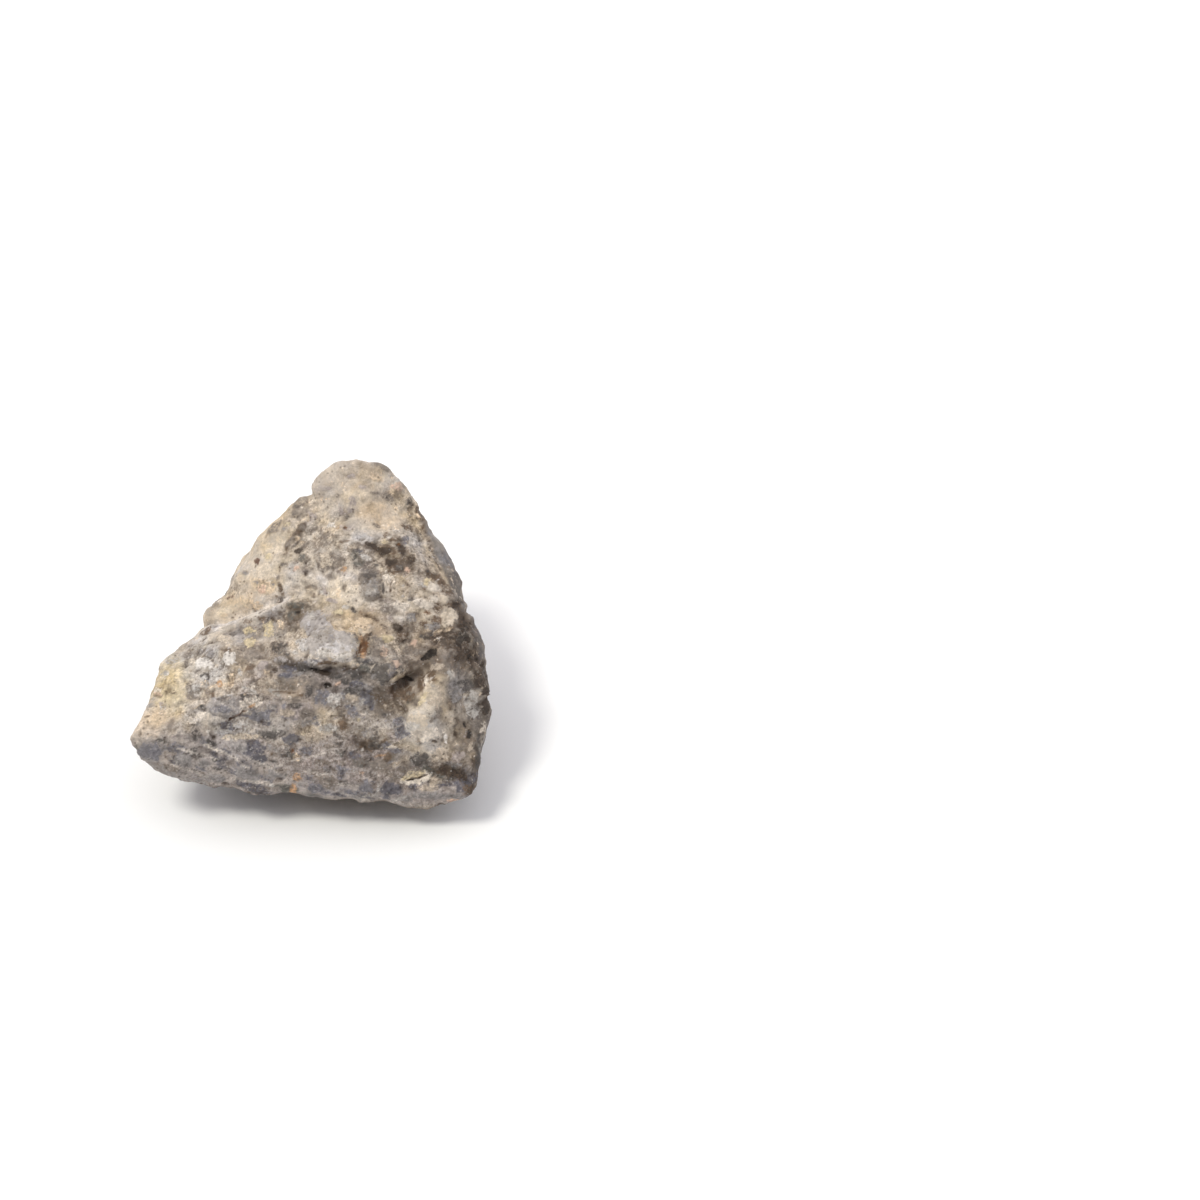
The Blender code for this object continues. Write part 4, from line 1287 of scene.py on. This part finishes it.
class Nodes:
    """Short forms for the nodes of a material or of the room."""

    def __init__(self, owner):
        owner.use_nodes = True
        self.tree = owner.node_tree

    def new(self, kind):
        return self.tree.nodes.new("ShaderNode" + kind)

    def set(self, socket, value):
        if isinstance(value, bpy.types.NodeSocket):
            self.tree.links.new(value, socket)
        else:
            socket.default_value = value

    def filled(self, node, values):
        """The first output of a node whose inputs are set in their order."""
        for socket, value in zip(node.inputs, values):
            self.set(socket, value)
        return node.outputs[0]

    def attribute(self, name, output="Fac"):
        node = self.new("Attribute")
        node.attribute_name = name
        return node.outputs[output]

    def math(self, operation, *values):
        node = self.new("Math")
        node.operation = operation
        return self.filled(node, values)

    def times(self, first, second):
        return self.math("MULTIPLY", first, second)

    def spread(self, value, low, high, new_low=0.0, new_high=1.0):
        """A value from low to high turned into one from new_low to new_high, smoothly."""
        node = self.new("MapRange")
        node.interpolation_type = "SMOOTHSTEP"
        return self.filled(node, (value, low, high, new_low, new_high))

    def noise(self, place, size, detail=2.0, roughness=0.5):
        node = self.new("TexNoise")
        self.set(node.inputs["Vector"], place)
        node.inputs["Scale"].default_value = 1.0 / size
        node.inputs["Detail"].default_value = detail
        node.inputs["Roughness"].default_value = roughness
        return node.outputs["Fac"]

    def grains(self, place, size, reach, channel, least):
        """1 in the middle of small grains, for those whose random channel is more than least."""
        node = self.new("TexVoronoi")
        self.set(node.inputs["Vector"], place)
        node.inputs["Scale"].default_value = 1.0 / size
        chance = self.new("SeparateColor")
        self.set(chance.inputs[0], node.outputs["Color"])
        dot = self.spread(node.outputs["Distance"], 0.10, reach, 1.0, 0.0)
        return self.times(dot, self.math("GREATER_THAN", chance.outputs[channel], least))

    def mix(self, share, first, second, blend="MIX"):
        node = self.new("Mix")
        node.data_type = "RGBA"
        node.blend_type = blend
        self.set(node.inputs[0], share)
        self.set(node.inputs[6], first)
        self.set(node.inputs[7], second)
        return node.outputs[2]

    def tint(self, share, colour, tone):
        return self.mix(share, colour, (*linear(tone), 1.0))


def stone_material():
    material = bpy.data.materials.new("stone_breccia")
    n = Nodes(material)
    shader = n.tree.nodes["Principled BSDF"]
    scaled = n.new("VectorMath")
    scaled.operation = "SCALE"
    scaled.inputs["Scale"].default_value = 1.0 / MM
    n.set(scaled.inputs[0], n.new("TexCoord").outputs["Object"])
    place = scaled.outputs[0]

    fine = n.noise(place, 0.060, 3.0, 0.65)
    small = n.noise(place, 0.17, 4.0, 0.65)
    at = {name: n.attribute(name) for name in POINT_VALUES}
    colour = clasts_in_matrix(n, at, place, fine, small)
    colour = mottled(n, at, colour, fine, small)
    colour = pores_and_grains(n, at, colour, place)
    colour = dirt_shade_and_highlights(n, at, colour, small)

    n.set(shader.inputs["Base Color"], colour)
    n.set(shader.inputs["Roughness"], n.spread(fine, 0.3, 0.7, 0.55, 0.9))
    shader.inputs["Specular IOR Level"].default_value = 0.35
    bump = n.new("Bump")
    bump.inputs["Strength"].default_value = 1.0
    bump.inputs["Distance"].default_value = BUMP * MM
    n.set(bump.inputs["Height"], n.noise(place, 0.15, 5.0, 0.65))
    n.set(shader.inputs["Normal"], bump.outputs[0])
    return material


def clasts_in_matrix(n, at, place, fine, small):
    """Clasts with ragged edges that partly melt into the matrix, and painted shade as a dark rim round
    part of them.
    """
    wave = n.times(n.math("SUBTRACT", small, 0.5), 4.0)
    wave = n.math("MULTIPLY_ADD", n.math("SUBTRACT", fine, 0.5), 3.0, wave)
    border = n.math("MULTIPLY_ADD", wave, at["rag"], at["edge"])
    inside = n.spread(border, -0.018, 0.030, 0.0, 0.95)
    melted = n.math("MAXIMUM", n.spread(at["fresh"], 0.0, 1.0, 0.25, 0.5), n.times(at["whole"], 0.85))
    melt = n.spread(n.noise(place, 0.10, 4.0, 0.7), 0.47, 0.64, 1.0, melted)
    ground, clast = (n.attribute(name, "Color") for name in POINT_COLOURS)
    colour = n.mix(n.times(inside, melt), ground, clast)
    rim_shade = n.spread(n.math("ABSOLUTE", border), 0.0, 0.022, 1.0, 0.0)
    rim_shade = n.times(rim_shade, n.spread(n.noise(place, 0.5), 0.45, 0.6, 0.0, 0.4))
    rim_shade = n.times(rim_shade, n.math("SUBTRACT", 1.0, at["fresh"]))
    return n.tint(rim_shade, colour, "brown")


def mottled(n, at, colour, fine, small):
    """Light and dark grains all over, weaker where the stone is calm or a clast is whole."""
    even = n.math("MAXIMUM", at["calm"], at["whole"])
    share = n.math("MULTIPLY_ADD", even, -0.25, n.spread(at["fresh"], 0.0, 1.0, 0.72, 1.0))
    for value, dark, light in ((small, 0.62, 1.32), (fine, 0.62, 1.34)):
        shade = n.spread(value, 0.28, 0.72, dark, light)
        grey = n.filled(n.new("CombineColor"), (shade, shade, shade))
        colour = n.mix(share, colour, grey, "MULTIPLY")
    return colour


def pores_and_grains(n, at, colour, place):
    """Thin dark cracks and pores in the crust, dark mineral grains, and pale ones in the grey stone."""
    pore = n.math("SUBTRACT", n.noise(place, 0.15, 3.0, 0.7), 0.5)
    pore = n.spread(n.math("ABSOLUTE", pore), 0.0, 0.045, 1.0, 0.0)
    pore = n.times(pore, n.spread(n.math("SUBTRACT", at["grime"], at["whole"]), 0.0, 1.0, 0.05, 0.55))
    colour = n.tint(pore, colour, "brown")
    dark = n.grains(place, 0.10, 0.45, 0, n.spread(at["calm"], 0.0, 1.0, 0.80, 0.97))
    colour = n.tint(n.times(dark, 0.6), colour, "dark_brown")
    pale = n.grains(place, 0.065, 0.50, 1, 0.86)
    return n.tint(n.times(pale, n.spread(at["fresh"], 0.0, 1.0, 0.25, 0.6)), colour, "pale_grey")


def dirt_shade_and_highlights(n, at, colour, small):
    """Dirt and painted shade in the hollows, and painted highlights on the raised knobs."""
    dirt_and_shade_tint = n.times(at["hollow"], n.spread(small, 0.3, 0.7, 0.35, 0.95))
    colour = n.tint(dirt_and_shade_tint, colour, "dark_brown")
    # Painted highlight on the raised knobs.
    worn = n.times(at["knob"], n.spread(at["fresh"], 0.0, 1.0, 0.22, 0.06))
    return n.tint(worn, colour, "cream")


def floor_material():
    material = bpy.data.materials.new("paper")
    n = Nodes(material)
    shader = n.tree.nodes["Principled BSDF"]
    faint = n.noise(n.new("TexCoord").outputs["Object"], 0.02, 2.0)
    n.set(shader.inputs["Base Color"], n.mix(faint, *FLOOR_COLOURS))
    shader.inputs["Roughness"].default_value = 0.9
    shader.inputs["Specular IOR Level"].default_value = 0.0
    return material


def lay_floor():
    half = FLOOR_HALF
    corners = [(-half, -half, 0.0), (half, -half, 0.0), (half, half, 0.0), (-half, half, 0.0)]
    plane = bpy.data.meshes.new("floor")
    plane.from_pydata(corners, [], [(0, 1, 2, 3)])
    plane.materials.append(floor_material())
    floor = added("floor", plane)
    floor.location.z = -FLOOR_GAP


def light_up():
    """A white room that is brightest overhead, where its soft lamps are, and one key lamp."""
    world = bpy.data.worlds.new("room")
    n = Nodes(world)
    sky = n.tree.nodes["Background"]
    sky.inputs["Color"].default_value = SKY_COLOUR
    parts = n.new("SeparateXYZ")
    n.set(parts.inputs[0], n.new("TexCoord").outputs["Generated"])
    height = n.math("MULTIPLY_ADD", parts.outputs[1], SKY_BACK, parts.outputs[2])
    n.set(sky.inputs["Strength"], n.spread(height, 0.05, 0.80, SKY_LOW, SKY_HIGH))
    bpy.context.scene.world = world

    key = bpy.data.lights.new("key", "SUN")
    key.energy = KEY_STRENGTH
    key.angle = math.radians(KEY_WIDTH)
    key.color = KEY_COLOUR
    added("key", key).rotation_euler = KEY_FROM.to_track_quat("Z", "Y").to_euler()


def set_camera():
    right, up, forward = camera_axes()
    lens = bpy.data.cameras.new("camera")
    lens.sensor_fit = "HORIZONTAL"
    lens.sensor_width = SENSOR
    lens.lens = SENSOR * CAMERA_FOCAL
    lens.clip_start = 0.01
    lens.clip_end = 10.0
    camera = added("camera", lens)
    turned = Matrix((right, up, -forward)).transposed()
    camera.matrix_world = Matrix.Translation(CAMERA_PLACE * MM) @ turned.to_4x4()
    bpy.context.scene.camera = camera
    bpy.context.scene.view_settings.view_transform = "Standard"


main()
